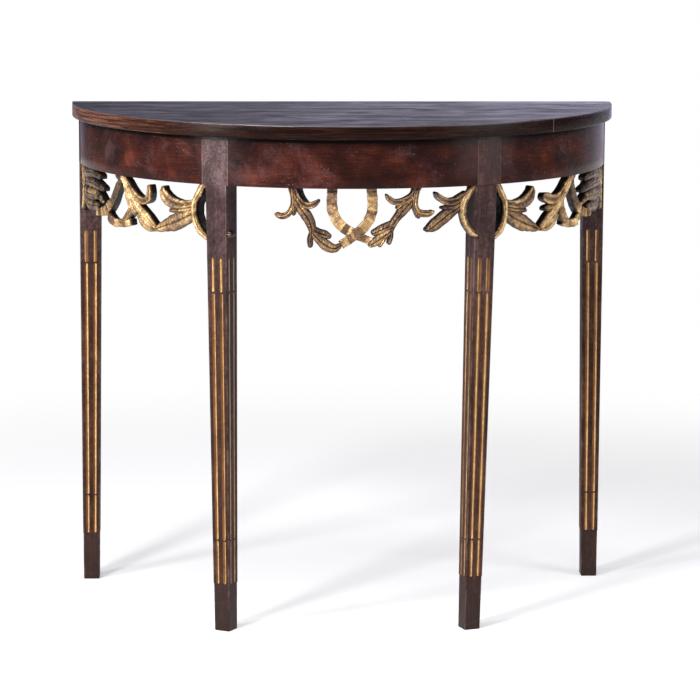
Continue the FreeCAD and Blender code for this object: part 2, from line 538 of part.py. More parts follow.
# Carvings of the two side bays, alike but cut by hand
side_sprays = {LEFT: LEFT_BAY_SPRAY, RIGHT: RIGHT_BAY_SPRAY}
side_ribbons = {LEFT: LEFT_BAY_RIBBON, RIGHT: RIGHT_BAY_RIBBON}
front_stretches = {LEFT: LEFT_FRONT_SCROLL_STRETCH, RIGHT: 1.0}
rear_stretches = {LEFT: LEFT_REAR_SCROLL_STRETCH, RIGHT: 1.0}
for side, side_name in SIDE_NAMES.items():
    front_leg = legs["front_" + side_name + "_leg"]
    rear_leg = legs["rear_" + side_name + "_leg"]
    front_scroll = carving(SIDE_SCROLL, side * outer_side_arc, side, True, front_stretches[side])
    front_scroll = front_scroll.cut(front_leg.blank)
    rear_scroll = carving(REAR_SCROLL, side * rear_face_arc, -side, True, rear_stretches[side])
    rear_scroll = rear_scroll.cut(rear_leg.blank)
    spray = carving(side_sprays[side], side * side_bay_arc, side).cut(front_scroll)
    ribbon = carving(side_ribbons[side], side * side_bay_arc, side, False).cut([spray, rear_scroll])
    carvings[side_name + "_bay_front_scroll"] = front_scroll
    carvings[side_name + "_bay_rear_scroll"] = rear_scroll
    carvings[side_name + "_bay_spray"] = spray
    carvings[side_name + "_bay_ribbon"] = ribbon
    pin_arcs.append(side * (outer_side_arc + BOW_STRETCH * front_stretches[side] * SCROLL_PIN_OFFSET))
    pin_arcs.append(side * (rear_face_arc - BOW_STRETCH * rear_stretches[side] * SCROLL_PIN_OFFSET))
    pin_arcs.append(side * (side_bay_arc + BOW_STRETCH * SIDE_SPRAY_PIN_OFFSET))

# Pins that hold the carvings to the rails
pins = [carving_pin(arc) for arc in pin_arcs]
nodes["carving_pins"] = Part.makeCompound(pins)
for name, shape in carvings.items():
    nodes[name] = shape.cut(pins)
nodes["front_rail"] = front_rail.cut(pins)
nodes["left_rail"] = left_rail.cut(pins)
nodes["right_rail"] = right_rail.cut(pins)
nodes["back_rail"] = back_rail

# Finished legs and the gilding in their flutes
for name, leg in legs.items():
    nodes[name] = leg.finished()
    nodes[name.replace("_leg", "_gilding")] = leg.gilding()

os.makedirs("parts", exist_ok=True)
for name, shape in nodes.items():
    shape.exportStep("parts/" + name + ".step")
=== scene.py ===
import math
from itertools import product

import bpy
from mathutils import Matrix, Vector, noise


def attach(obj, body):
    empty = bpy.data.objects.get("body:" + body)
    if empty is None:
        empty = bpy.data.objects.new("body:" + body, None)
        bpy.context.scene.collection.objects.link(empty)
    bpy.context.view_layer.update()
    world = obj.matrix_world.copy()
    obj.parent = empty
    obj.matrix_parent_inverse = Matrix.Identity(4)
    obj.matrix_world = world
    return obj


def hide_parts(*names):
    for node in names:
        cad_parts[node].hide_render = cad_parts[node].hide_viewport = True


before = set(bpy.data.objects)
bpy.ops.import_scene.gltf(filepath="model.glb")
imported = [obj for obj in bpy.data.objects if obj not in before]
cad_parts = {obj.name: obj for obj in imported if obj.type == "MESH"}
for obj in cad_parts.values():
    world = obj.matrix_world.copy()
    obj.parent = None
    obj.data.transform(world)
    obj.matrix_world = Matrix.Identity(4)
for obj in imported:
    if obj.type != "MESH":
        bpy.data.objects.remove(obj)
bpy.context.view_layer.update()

# Half-round side table: old mahogany with fluted, parcel-gilt legs and gilded openwork under the frieze.
# Sizes are in millimetres, as in the solids, and become metres where a mesh is made. Angles are in degrees.
MM = 0.001
SHARP_ANGLE = 34.0
ROUNDING_MIDDLE = 0.3
LEFT = -1
RIGHT = 1

# Top and frieze
TOP_RADIUS = 455.0
TOP_UNDERSIDE = 798.0
TOP_THICKNESS = 22.0
TOP_EDGE_ROUNDING = 1.4
TOP_EDGE_TURNS = (0.0, 30.0, 60.0, 90.0)
JOINT_ROUNDING_SHARE = 0.2
SEAM_WIDTH = 1.2
FRONT_BOARD_DEPTH = 138.0
WORN_CORNER = 7.0
WORN_CORNER_SHAPE = ((0.4, 0.3), (1.2, 0.0))
RIM_STEP = 1.0
FRIEZE_RADIUS = 443.0
FRIEZE_BOTTOM = 721.0
VENEER_THICKNESS = 2.0
VENEER_EDGE_ROUNDING = 0.5
VENEER_STEP = 0.75
VENEER_LEVELS = (0.2, 0.4, 0.6, 0.8, 1.0)
BACK_Y = TOP_RADIUS / 2.0
BOARD_JOINT_Y = FRONT_BOARD_DEPTH - BACK_Y

# Legs
LEG_TOP_SIZE = 37.0
LEG_FOOT_SIZE = 28.0
FRONT_LEG_ANGLE = 28.9
RIGHT_SHAFT_TWIST = 9.4
FRONT_SHAFT_SETBACK = 0.5
LEFT_FOOT_LEAN = 9.3
RIGHT_FOOT_LEAN = 16.5
LEFT_HEAD_ANGLES = (-32.08, -26.06)
RIGHT_HEAD_ANGLES = (26.79, 32.35)
HEAD_JOINT_ANGLE = 0.09
HEAD_COLUMNS = (0.2, 0.4, 0.6, 0.8)
HEAD_EDGE_ROUNDING = 0.4
# Painted highlight on the leg heads, standing for the soft boxes' reflection: strong on the front left, none
# on the front right
HEAD_PAINTED_HIGHLIGHT = {"front_left": 0.75, "front_right": 0.0, "rear_left": 0.3, "rear_right": 0.3}
ARRIS_ROUNDING = 1.1
ARRIS_WEAR = 0.35
ARRIS_WEAR_LENGTH = 14.0
ARRIS_WEAR_SPREAD = 9.0
CORNER_RUB = [0.6, 1.0, 0.6, 0.0]
FOOT_ROUNDING = 1.6
FOOT_STEP = 0.6
RING_SPACING = 12.0
PLAIN_RINGS = 9

# Faces of a leg, in quarter turns from its front
RIGHT_FACE = 1
BACK_FACE = 2
LEFT_FACE = 3
FACE_TURNS = [Matrix.Rotation(math.radians(90.0 * face), 2) for face in range(4)]

# Flutes: cross-section sizes are shares of the leg's width
FLUTE_HALF_WIDTH_SHARE = 0.1
FLUTE_DEPTH_SHARE = 0.07
FLUTE_OFFSET_SHARE = 0.21
FLUTE_TOP = 605.0
FLUTE_UPPER_BREAK = 550.0
FLUTE_LOWER_BREAK = 149.0
FRONT_LEFT_FLUTE_BOTTOM = 78.0
FRONT_RIGHT_FLUTE_BOTTOM = 88.0
REAR_FLUTE_BOTTOM = 82.0
FLUTE_BRIDGE = 1.6
FLUTE_END = 2.6
FLUTE_END_RINGS = (-0.02, 0.02, 0.15, 0.4, 0.7, 1.0)
FLUTE_COLUMNS = 9
FLUTE_PLACES = [2.0 * column / (FLUTE_COLUMNS - 1) - 1.0 for column in range(FLUTE_COLUMNS)]
CLOSED_FLUTE = 0.02
GILDING_LIFT = 0.15
# Painted shade on the flutes of the side faces that turn away from the light at the left: much on the right
# faces, a little on the left faces
SIDE_PAINTED_SHADE = {RIGHT_FACE: 0.92, LEFT_FACE: 0.3}

# How the carver's strokes are cut
CARVING_RADIUS = 441.0
CARVING_THICKNESS = 17.0
HOOP_THICKNESS = 9.0
STROKE_STEP = 1.2
EDGE_DROP = 5.0
EDGE_ROLL = 1.3
EDGE_GILDING = 0.6
# Painted light: how bright the gold is painted at a stroke's edge, rising to full on its highest parts
EDGE_PAINTED_LIGHT = 0.4
WAIST_DROP = 5.0
WAIST_CLEARANCE = 1.0
WALL_WAIST = 0.94
BACK_WIDTH = 0.86
SCROLL_FLARE = 2.2
FRONT_COLUMNS = 17
TIP_STEPS = (0.4, 0.7, 0.88, 0.97)
CRIMP_LENGTH = 17.0
CRIMP_HEIGHT = 3.2
CRIMP_WAVER = 0.2
CRIMP_WAVER_LENGTH = 7.0
# Painted light and shade on the ribbons' crimp facets: each facet gets its own brightness, as if some were
# lit and some shaded
FACET_PAINTED_LIGHT = 0.74
FACET_LIGHT_CONTRAST = 0.42
FACET_SPREAD = 1.7
FACET_LAYER = 0.3
STRAP_PLAIN_LENGTH = 55.0
VEIN_SPACING = 6.0
VEIN_DEPTH = 0.6
VEIN_SLANT = 1.3
VEIN_WAVER = 0.5
VEIN_WAVER_LENGTH = 9.0
VEIN_WAVER_SPREAD = 3.0
VEIN_WAVER_LAYER = 0.5
VEIN_RIB_FADE = 4.0
TOOL_MARK_SIZE = 5.0
TOOL_MARK_DEPTH = 0.8
TOOL_MARK_SPREAD = 7.0
OUTLINE_WAVER = 0.09
OUTLINE_WAVER_LENGTH = 8.0
OUTLINE_WAVER_SPREAD = 30.0
DEPTH_SHADE = 0.06
GILDING_COVER = {"back": 0.2, "mass": 0.62}
RIBBON_CUTS = ("ribbon", "strap")

# Fronts of the cuts: height and power of the crown, then depth, middles and width of its grooves
CUT_FRONTS = {
    "ribbon": (1.6, 0.25, 0.0, (), 1.0),
    "strap": (1.6, 0.25, 0.0, (), 1.0),
    "scroll": (4.8, 0.6, 1.8, (0.42,), 0.16),
    "hoop": (4.8, 0.6, 1.8, (0.42,), 0.16),
    "curl": (4.8, 0.3, 3.2, (0.05,), 0.42),
    "leaf": (4.4, 0.45, 2.2, (0.0,), 0.11),
    "mass": (4.0, 0.5, 1.2, (0.0,), 0.1),
    "back": (1.0, 0.5, 0.0, (), 1.0),
    "reed": (4.6, 0.5, 1.7, (-0.36, 0.36), 0.13),
}

# Strokes of the carvings: cut, depth behind the front, then points of position along the bow, drop, width
RIBBON_LOOP = (
    ("ribbon", 6.0, ((-32, -2, 16.5), (-32.7, 15, 17), (-32.5, 29, 17.5), (-29.5, 42, 17),
                     (-22.5, 54, 17), (-11, 64.5, 16.5), (2.5, 71.5, 15.5), (14, 77.5, 13.5),
                     (24, 81.5, 12), (33, 85, 11))),
    ("ribbon", 0.0, ((30, -2, 16), (31.5, 15, 16), (32, 29, 16), (30, 41, 16), (24, 54, 16),
                     (16, 63.5, 16), (6, 71.5, 15.5), (-5, 80, 15), (-18, 89, 14))),
)
LEFT_SPRAY = (
    ("reed", 0.0, ((-97, -2, 12), (-94.5, 13, 9), (-94.5, 26, 9), (-98.5, 36.5, 10), (-106, 43.5, 10),
                   (-115.5, 45, 9), (-122, 42, 5))),
    ("curl", 0.5, ((-94, 0, 10), (-87, 15.5, 9.5), (-79, 24, 10), (-70, 27.5, 11), (-61.5, 25.5, 10.5),
                   (-55, 21, 7))),
    ("reed", 1.0, ((-92, 16, 6), (-93, 33, 8), (-93.5, 41.5, 5))),
    ("leaf", 1.5, ((-91, 17, 11), (-83.5, 30, 16), (-75, 41, 18), (-68, 52, 17), (-64.5, 63, 13),
                   (-64, 73, 9))),
    ("leaf", 2.0, ((-65, 64, 11), (-54, 70, 13.5), (-44, 73, 13.5), (-37.5, 75.5, 9))),
    ("reed", 1.5, ((-66, 71, 7), (-67.5, 81, 10), (-67, 90, 8.5))),
    ("leaf", 0.5, ((-62, 71, 9), (-53, 81, 14), (-43.5, 88.5, 17), (-34.5, 93.5, 16), (-27, 94.5, 13),
                   (-21.5, 91.5, 9))),
    ("back", 7.0, ((-86.5, -2, 11), (-83.5, 9, 10), (-79, 17, 9), (-73, 22.5, 6))),
)
RIGHT_SPRAY = (
    ("curl", 0.5, ((105, -2, 14), (98.5, 11.5, 10.5), (88.5, 18.5, 11), (76.5, 22.5, 11), (66, 21.5, 10),
                   (58.5, 16.5, 8.5), (55.5, 12, 5))),
    ("reed", 0.0, ((104, 5, 9), (101, 19, 9.5), (101.5, 30, 9.5), (106.5, 39, 11.5), (115.5, 41.5, 11.5),
                   (124.5, 41.5, 10), (131, 39, 5))),
    ("leaf", 1.5, ((99, 16, 11), (90.5, 26, 15), (82, 35, 16.5), (74.5, 44, 14), (67.5, 53, 12),
                   (62, 63, 12), (60, 73, 10))),
    ("reed", 1.0, ((100.5, 31, 7), (104.5, 41, 7), (107, 47, 5))),
    ("reed", 1.0, ((86, 21, 9), (76, 28.5, 7.5), (72, 32, 4))),
    ("leaf", 1.5, ((66, 56, 11), (54.5, 61.5, 14), (43.5, 66.5, 14), (35, 70, 10))),
    ("leaf", 0.5, ((60.5, 68, 11), (48.5, 76.5, 14), (37.5, 84, 14.5), (29.5, 88.5, 9.5))),
    ("reed", 1.0, ((57, 72, 6), (49.5, 82, 7), (44, 90, 6.5))),
    ("reed", 1.5, ((63, 70, 7), (61, 80, 8), (59, 86, 7))),
)
# Scroll leaves are measured from the side of the leg that they stand against.
MIDDLE_SCROLL = (
    ("hoop", 0.0, ((-2, -4, 14), (5, 5, 12), (12, 13.5, 12), (18, 23.5, 12.5), (21.5, 35.5, 13),
                   (21.5, 46.5, 13), (18, 58, 12.5), (12, 67.5, 12), (4, 75.5, 11), (-3, 79.5, 9))),
    ("curl", 1.0, ((13, 12, 9), (20, 16.5, 11.5), (32, 22.5, 11.5), (45, 24.5, 12), (55.5, 21, 11.5),
                   (63, 16, 9.5), (66.5, 11, 6))),
    ("reed", 2.0, ((22, 30, 10), (42, 33.5, 9.5), (55, 34, 6))),
    ("leaf", 1.5, ((25, 31.5, 12), (46, 44, 19), (60.5, 54, 20), (72.5, 62.5, 18), (81.5, 67, 9))),
)
SIDE_SCROLL = (
    ("scroll", 0.0, ((2, -4, 13), (8.5, 4, 12.5), (14.5, 15, 12), (21, 26, 11), (23.5, 38, 10.5),
                     (23, 51, 10.5), (19.5, 64, 11), (12, 76, 11), (1, 85, 9))),
    ("curl", 1.0, ((12, 15, 9), (25, 30, 10), (40, 34.5, 12.5), (54, 35.5, 16.5), (67.5, 33, 20),
                   (78, 26.5, 19.5), (83, 18.5, 14.5), (83.5, 13, 9))),
    ("reed", 2.0, ((24, 40, 10), (46, 45, 13), (68, 46.5, 8))),
    ("leaf", 1.5, ((22, 46, 15), (37, 54.5, 23), (52, 61.5, 27), (66, 67.5, 26), (80, 72.5, 20),
                   (94, 78, 12), (101, 80, 5))),
)
REAR_SCROLL = (
    ("scroll", 0.0, ((0, -4, 12), (8, 6, 11), (18, 17, 10), (26, 30, 10), (28, 42, 10), (25, 54, 10),
                     (16, 65, 10), (6, 73, 9), (-3, 78, 8))),
    ("mass", 1.0, ((22, 18, 15), (55, 11, 19), (85, 8, 19), (120, 7, 17), (156, 11, 10))),
    ("mass", 2.5, ((26, 30, 16), (60, 26, 20), (95, 25, 20), (132, 26, 18), (171, 30, 10))),
    ("mass", 0.5, ((27, 42, 16), (70, 44, 20), (110, 43.5, 20), (146, 42, 15), (165, 46, 10),
                   (178, 51, 6))),
    ("mass", 2.0, ((25, 54, 14), (65, 62, 20), (105, 62, 20), (146, 60, 11))),
)
SCROLL_STUB = (("reed", 1.0, ((-3, 78, 14), (1, 78, 13), (3, 78, 10))),)
# The side bays' spray and ribbon are measured from the middle of their bay, positive towards the back.
SIDE_STEM = ("reed", 0.0, ((-24, -2, 20), (-32.5, 13, 12.5), (-41, 23, 12), (-49.5, 32, 12),
                           (-59.5, 40.5, 13), (-69.5, 50, 15), (-81, 59, 18), (-94, 67.5, 17),
                           (-108, 76, 9)))
SIDE_LOWER_LEAF = ("leaf", 1.0, ((-68, 59, 13), (-79.5, 70, 18), (-94, 77, 16), (-107, 80, 8)))
LEFT_BAY_SPRAY = (
    SIDE_STEM,
    ("curl", 0.5, ((-33.5, 8, 10), (-45.5, 19.5, 11), (-56.5, 28.5, 12), (-68.5, 34.5, 12),
                   (-81.5, 36.5, 12.5), (-92, 32, 12), (-95, 23, 11), (-94.5, 13, 8))),
    ("reed", 1.0, ((-30, 12, 9), (-35, 24, 13), (-41, 35, 18), (-48, 46, 19), (-57, 56, 14))),
    ("leaf", 1.5, ((-55.5, 46, 10), (-45, 56, 14), (-34, 66, 14), (-24, 74, 10))),
    SIDE_LOWER_LEAF,
)
RIGHT_BAY_SPRAY = (
    SIDE_STEM,
    ("curl", 0.5, ((-33.5, 8, 10), (-45.5, 19.5, 11), (-56.5, 28.5, 13), (-68.5, 34, 15), (-82, 34.5, 17),
                   (-97, 30, 17))),
    ("leaf", 1.5, ((-53, 38, 10), (-50, 55, 18), (-43, 67, 17), (-33, 74, 11))),
    ("reed", 1.5, ((-58, 40, 11), (-74, 46, 13), (-95, 48.5, 10))),
    SIDE_LOWER_LEAF,
)
LEFT_BAY_RIBBON = (
    ("strap", 1.0, ((-8, -2, 26), (-12, 10, 14), (-4, 21, 14.5), (5, 33, 15), (12, 44, 16), (20, 52, 16),
                    (32, 61, 15.5), (50, 66.5, 14.5), (66, 69, 14), (76, 69, 13))),
    ("ribbon", 2.0, ((-46, 74, 11), (-28, 78, 12), (-8, 80, 13), (10, 80, 13.5), (23, 74.5, 12.5),
                     (34, 66, 11))),
)
RIGHT_BAY_RIBBON = (
    ("strap", 1.0, ((-13, -2, 22), (-17, 10, 15), (-14.5, 22, 16), (-8.5, 34, 17), (-2, 44, 17.5),
                    (5, 52.5, 17), (16, 61, 15.5), (35, 67, 14), (57.5, 69, 14), (70, 69, 13))),
    ("ribbon", 2.0, ((-46, 74, 11), (-32.5, 78, 13), (-17.5, 80, 13), (-1.5, 79.5, 13.5), (9, 74, 13),
                     (20, 65, 11))),
)
# The left bay's scroll leaves are longer at the front and shorter at the back than the right bay's.
LEFT_FRONT_SCROLL_STRETCH = 1.08
LEFT_REAR_SCROLL_STRETCH = 0.85

# Heights between which a tone comes or goes
# Painted shade: the frieze darkens towards the top, in the shade of the top's overhang
PAINTED_SHADE_ZONE = (TOP_UNDERSIDE - 19.0, TOP_UNDERSIDE - 3.0)
# Painted shadow: a dark line just under the top, where the top's overhang shades the frieze and the leg heads
PAINTED_SHADOW_LINE_ZONE = (TOP_UNDERSIDE - 7.5, TOP_UNDERSIDE - 3.5)
# Painted shade: carvings darker where they meet the frieze's underside
CARVING_SHADE_ZONE = (708.0, 722.0)
HEAD_ZONE = (700.0, 735.0)
PLAIN_SHAFT_ZONE = (480.0, 600.0)
BREAK_ZONE = (FLUTE_UPPER_BREAK - 1.0, FLUTE_UPPER_BREAK + 1.0)
# Painted shade on the flutes' side faces, halved towards the foot
SIDE_SHADE_ZONE = (150.0, 450.0)
FOOT_ZONE = (78.0, 90.0)

# Colours from 0 to 255, each after its place in a pattern where it is one of several
FRIEZE_FIGURE = ((0.38, (30, 15, 14)), (0.48, (50, 22, 17)), (0.56, (69, 30, 22)), (0.67, (108, 50, 33)))
FRIEZE_PORES = (30, 15, 15)
FRIEZE_HAZE = (108, 82, 86)
FRIEZE_MARKS = (146, 116, 110)
# Painted shade under the top's overhang
FRIEZE_PAINTED_SHADE = (22, 11, 11)
# Painted shadow under the top's overhang
PAINTED_SHADOW_LINE = (8, 4, 4)
# Painted reflection: the top's slate blue-grey is a pale backdrop seen in its polish, over dark wood
TOP_FACE_PAINTED_REFLECTION = ((0.36, (10, 8, 10)), (0.46, (37, 31, 36)), (0.54, (64, 57, 67)), (0.66, (105, 98, 112)))
TOP_EDGE = ((0.34, (20, 10, 8)), (0.52, (32, 17, 13)), (0.7, (62, 35, 26)), (0.95, (136, 92, 76)))
# Pale arris of the top: edge wear and a painted highlight
TOP_ARRIS_WEAR_AND_HIGHLIGHT = (138, 122, 124)
TOP_SEAM = (146, 130, 128)
PLAIN_SHAFT = ((0.38, (32, 20, 19)), (0.5, (62, 43, 42)), (0.62, (98, 74, 74)))
FLUTED_SHAFT = ((0.38, (30, 16, 12)), (0.5, (59, 36, 28)), (0.62, (93, 62, 49)))
CLEAR_HEAD = ((0.38, (36, 18, 15)), (0.5, (58, 31, 27)), (0.62, (94, 62, 56)))
# Head colours with a painted highlight of the soft boxes' reflection
HIGHLIGHTED_HEAD = ((0.38, (48, 31, 30)), (0.5, (86, 62, 62)), (0.62, (132, 110, 112)))
CLEAR_ARRIS = (140, 118, 115)
# Arris colour with the painted highlight
HIGHLIGHTED_ARRIS = (196, 178, 178)
FOOT_BROWN = (48, 37, 36)
FLUTE_GOLD = ((0.3, (188, 142, 86)), (0.55, (224, 181, 118)), (0.75, (250, 222, 168)))
FLUTE_BOLE = ((0.35, (138, 90, 48)), (0.65, (92, 57, 34)))
# Greyer gold and darker bole of the side faces' flutes, as painted shade
SHADED_SIDE_GOLD = (132, 119, 112)
SHADED_SIDE_BOLE = (46, 34, 30)
# Painted shade in the grooves, at the flutes' edges
FLUTE_EDGE_PAINTED_SHADE = (28, 18, 16)
CARVED_GOLD = ((0.4, (40, 29, 26)), (0.56, (88, 67, 53)), (0.7, (138, 107, 76)), (0.82, (190, 153, 104)),
               (0.96, (240, 210, 156)))
CARVED_DUST = (112, 95, 86)
CARVED_SIDES = ((0.35, (8, 7, 8)), (0.65, (28, 24, 24)))
SOFTWOOD = ((0.3, (74, 52, 36)), (0.5, (112, 82, 56)), (0.7, (146, 112, 80)))
SOFTWOOD_DUST = (98, 84, 72)
RUSTY_IRON = ((0.4, (58, 54, 52)), (0.65, (96, 66, 48)))
FLOOR_COLOUR = (222, 222, 226)
WHITE = (1.0, 1.0, 1.0, 1.0)


# Materials

def linear(red, green, blue):
    """Linear colour of a screen colour given from 0 to 255."""
    parts = []
    for value in (red, green, blue):
        share = value / 255.0
        parts.append(share / 12.92 if share <= 0.04045 else ((share + 0.055) / 1.055) ** 2.4)
    return (*parts, 1.0)


class Signal:
    """Output of a node, with which to reckon as with a number."""

    def __init__(self, nodes, socket):
        self.nodes = nodes
        self.socket = socket

    def reckon(self, operation, other=0.0):
        return self.nodes.add("Math", {0: self, 1: other}, "Value", operation=operation)

    def __add__(self, other):
        return self.reckon("ADD", other)

    def __sub__(self, other):
        return self.reckon("SUBTRACT", other)

    def __mul__(self, other):
        return self.reckon("MULTIPLY", other)

    __rmul__ = __mul__

    def __abs__(self):
        return self.reckon("ABSOLUTE")

    def most(self, other):
        """The higher of two numbers."""
        return self.reckon("MAXIMUM", other)

    def axis(self, name):
        """One number of a vector."""
        return self.nodes.add("SeparateXYZ", {"Vector": self}, name)

    def noise(self, scale, detail=4.0, roughness=0.55, distortion=0.0):
        """Soft noise from 0 to 1 at a place, with a number of features to the metre."""
        inputs = {"Vector": self, "Scale": scale, "Detail": detail, "Roughness": roughness,
                  "Distortion": distortion}
        return self.nodes.add("TexNoise", inputs, "Fac")

    def spots(self, scale):
        """Distance of a place from scattered points."""
        return self.nodes.add("TexVoronoi", {"Vector": self, "Scale": scale}, "Distance")

    def band(self, low, high, start=0.0, end=1.0):
        """Smooth change from start to end while this number goes from low to high."""
        inputs = {"Value": self, "From Min": low, "From Max": high, "To Min": start, "To Max": end}
        return self.nodes.add("MapRange", inputs, "Result", interpolation_type="SMOOTHSTEP")

    def ramp(self, stops):
        """Colour picked by this number from stops of place and screen colour."""
        picked = self.nodes.add("ValToRGB", {"Fac": self}, "Color")
        elements = picked.socket.node.color_ramp.elements
        while len(elements) < len(stops):
            elements.new(1.0)
        for element, (place, colour) in zip(elements, stops):
            element.position = place
            element.color = linear(*colour)
        return picked

    def mix(self, first, second):
        """Two colours mixed by this share. Sockets are found by place, as some share a name."""
        inputs = {0: self, 6: first, 7: second}
        for place, colour in inputs.items():
            if isinstance(colour, tuple):
                inputs[place] = linear(*colour)
        return self.nodes.add("Mix", inputs, 2, data_type="RGBA")


class Nodes:
    """Nodes of a material or of the world."""

    def __init__(self, tree):
        self.tree = tree

    def add(self, kind, inputs, output, **settings):
        """Signal from an output of a new node."""
        node = self.tree.nodes.new("ShaderNode" + kind)
        for setting, value in settings.items():
            setattr(node, setting, value)
        for name, value in inputs.items():
            self.feed(node.inputs[name], value)
        return Signal(self, node.outputs[output])

    def feed(self, socket, value):
        """A socket linked to a signal, or given a value."""
        if isinstance(value, Signal):
            self.tree.links.new(value.socket, socket)
        else:
            socket.default_value = value

    def rays(self):
        """Signals that are 1 for camera, glossy and transmission rays."""
        return [self.add("LightPath", {}, f"Is {kind} Ray") for kind in ("Camera", "Glossy", "Transmission")]


class Finish(Nodes):
    """A procedural material."""

    def __init__(self, name, **inputs):
        self.material = bpy.data.materials.new(name)
        self.material.use_nodes = True
        super().__init__(self.material.node_tree)
        self.shader = self.tree.nodes["Principled BSDF"]
        self.drive(**inputs)

    def drive(self, **inputs):
        """Inputs of the shader, whose names have underscores for spaces."""
        for name, value in inputs.items():
            self.feed(self.shader.inputs[name.replace("_", " ")], value)

    def bump(self, relief, depth):
        """Relief of a depth in metres."""
        self.drive(Normal=self.add("Bump", {"Height": relief, "Distance": depth, "Strength": 1.0}, "Normal"))

    def place(self, stretch=(1.0, 1.0, 1.0), source="Object"):
        """Coordinates in metres, stretched along the axes."""
        return self.add("Mapping", {"Vector": self.add("TexCoord", {}, source), "Scale": stretch}, "Vector")

    def stored(self, name):
        """Number kept at the mesh's points."""
        return self.add("Attribute", {}, "Fac", attribute_name=name)

    def height(self):
        """Height above the floor in metres."""
        return self.add("TexCoord", {}, "Object").axis("Z")

    def zone(self, low, high, start=0.0, end=1.0):
        """Smooth change from start to end between two heights in millimetres."""
        return self.height().band(low * MM, high * MM, start, end)


def frieze_finish():
    """Old polished mahogany veneer: red-brown figure, dark clouds, hazy patches, pale scuffs, and painted
    shade with a painted shadow line towards the top, under its overhang.
    """
    finish = Finish("frieze_mahogany", Specular_IOR_Level=0.1)
    bow = finish.place(source="UV")
    streaks = finish.place((4.0, 90.0, 1.0), "UV").noise(4.0, 6.0, 0.65, 0.3)
    clouds = finish.place((1.0, 1.1, 1.0), "UV").noise(15.0, 5.0, 0.55, 0.2)
    grain = finish.place((14.0, 420.0, 1.0), "UV").noise(2.0, 3.0)
    figure = (0.75 * clouds + 0.25 * streaks).ramp(FRIEZE_FIGURE)
    grained = grain.band(0.42, 0.75, 0.0, 0.4).mix(figure, FRIEZE_PORES)
    haze = bow.noise(13.0, 9.0, 0.75, 0.3)
    hazed = haze.band(0.48, 0.72, 0.0, 0.36).mix(grained, FRIEZE_HAZE)
    scuffs = finish.place((55.0, 75.0, 1.0), "UV").noise(3.0, 9.0, 0.8, 0.4).band(0.6, 0.76, 0.0, 0.55)
    specks = bow.spots(190.0).band(0.1, 0.24, 0.6, 0.0) * bow.noise(24.0, 6.0).band(0.52, 0.66)
    clusters = bow.noise(17.0, 5.0, 0.6).band(0.48, 0.64)
    dust = bow.noise(300.0, 5.0, 0.75).band(0.54, 0.72, 0.0, 0.5) * clusters
    marks = specks.most(scuffs).most(dust)
    marked = marks.mix(hazed, FRIEZE_MARKS)
    # painted shade under the top's overhang
    shaded_under_top = finish.zone(*PAINTED_SHADE_ZONE, 0.0, 0.6).mix(marked, FRIEZE_PAINTED_SHADE)
    # painted shadow line under the top's overhang
    finish.drive(Base_Color=finish.zone(*PAINTED_SHADOW_LINE_ZONE).mix(shaded_under_top, PAINTED_SHADOW_LINE),
                 Roughness=haze.band(0.3, 0.75, 0.16, 0.34))
    finish.bump(grain + haze - 0.8 * marks, 0.00014)
    return finish.material


def top_finish():
    """Darkened top: above, a slate blue-grey that is a painted reflection of a pale backdrop, lighter to the
    right, with long streaks; a red-brown edge, lighter to its left as painted light; a pale arris of wear and
    painted highlight; pale along the board joint.
    """
    finish = Finish("top_mahogany", Specular_IOR_Level=0.3)
    streaks = finish.place((2.6, 52.0, 52.0)).noise(4.0, 9.0, 0.7, 0.7)
    clouds = finish.place((1.0, 2.4, 2.4)).noise(9.0, 7.0, 0.66, 0.6)
    grain = finish.place((8.0, 420.0, 420.0)).noise(2.0, 3.0)
    blend = 0.6 * streaks + 0.4 * clouds
    sideways = finish.place().axis("X")
    # painted reflection, lighter to the right
    clouds_and_sheen = blend + 0.1 * sideways
    arc = finish.stored("arc")
    rim = finish.add("CombineXYZ", {"X": arc, "Z": finish.height()}, "Vector")
    layers = finish.add("Mapping", {"Vector": rim, "Scale": (5.0, 1.0, 120.0)}, "Vector")
    # painted light: the rim's edge lighter towards its left end, which faces the left soft box
    rim_layers_and_light = layers.noise(3.0, 8.0, 0.65, 0.4) + arc.band(-0.55, -0.1, 0.28, 0.0)
    upward = finish.add("NewGeometry", {}, "Normal").axis("Z")
    flat = upward.band(0.35, 0.95)
    aged = flat.mix(rim_layers_and_light.ramp(TOP_EDGE), clouds_and_sheen.ramp(TOP_FACE_PAINTED_REFLECTION))
    arris = upward.band(0.08, 0.25) * upward.band(0.8, 0.97, 1.0, 0.0)
    # pale arris: edge wear and a painted highlight along the top's edge
    rubbed = (0.25 * arris).mix(aged, TOP_ARRIS_WEAR_AND_HIGHLIGHT)
    worn = blend.band(0.38, 0.62, 0.52, 0.28) - 0.25 * flat * sideways
    polish = flat * clouds_and_sheen.band(0.38, 0.64, 0.12, 0.42)
    finish.drive(Base_Color=(0.7 * finish.stored("seam")).mix(rubbed, TOP_SEAM),
                 Roughness=worn - upward.band(0.2, 0.9, 0.14, 0.0),
                 Specular_IOR_Level=0.8 * arris + (polish + 0.08))
    finish.bump(grain + 2.0 * streaks, 0.00018)
    return finish.material


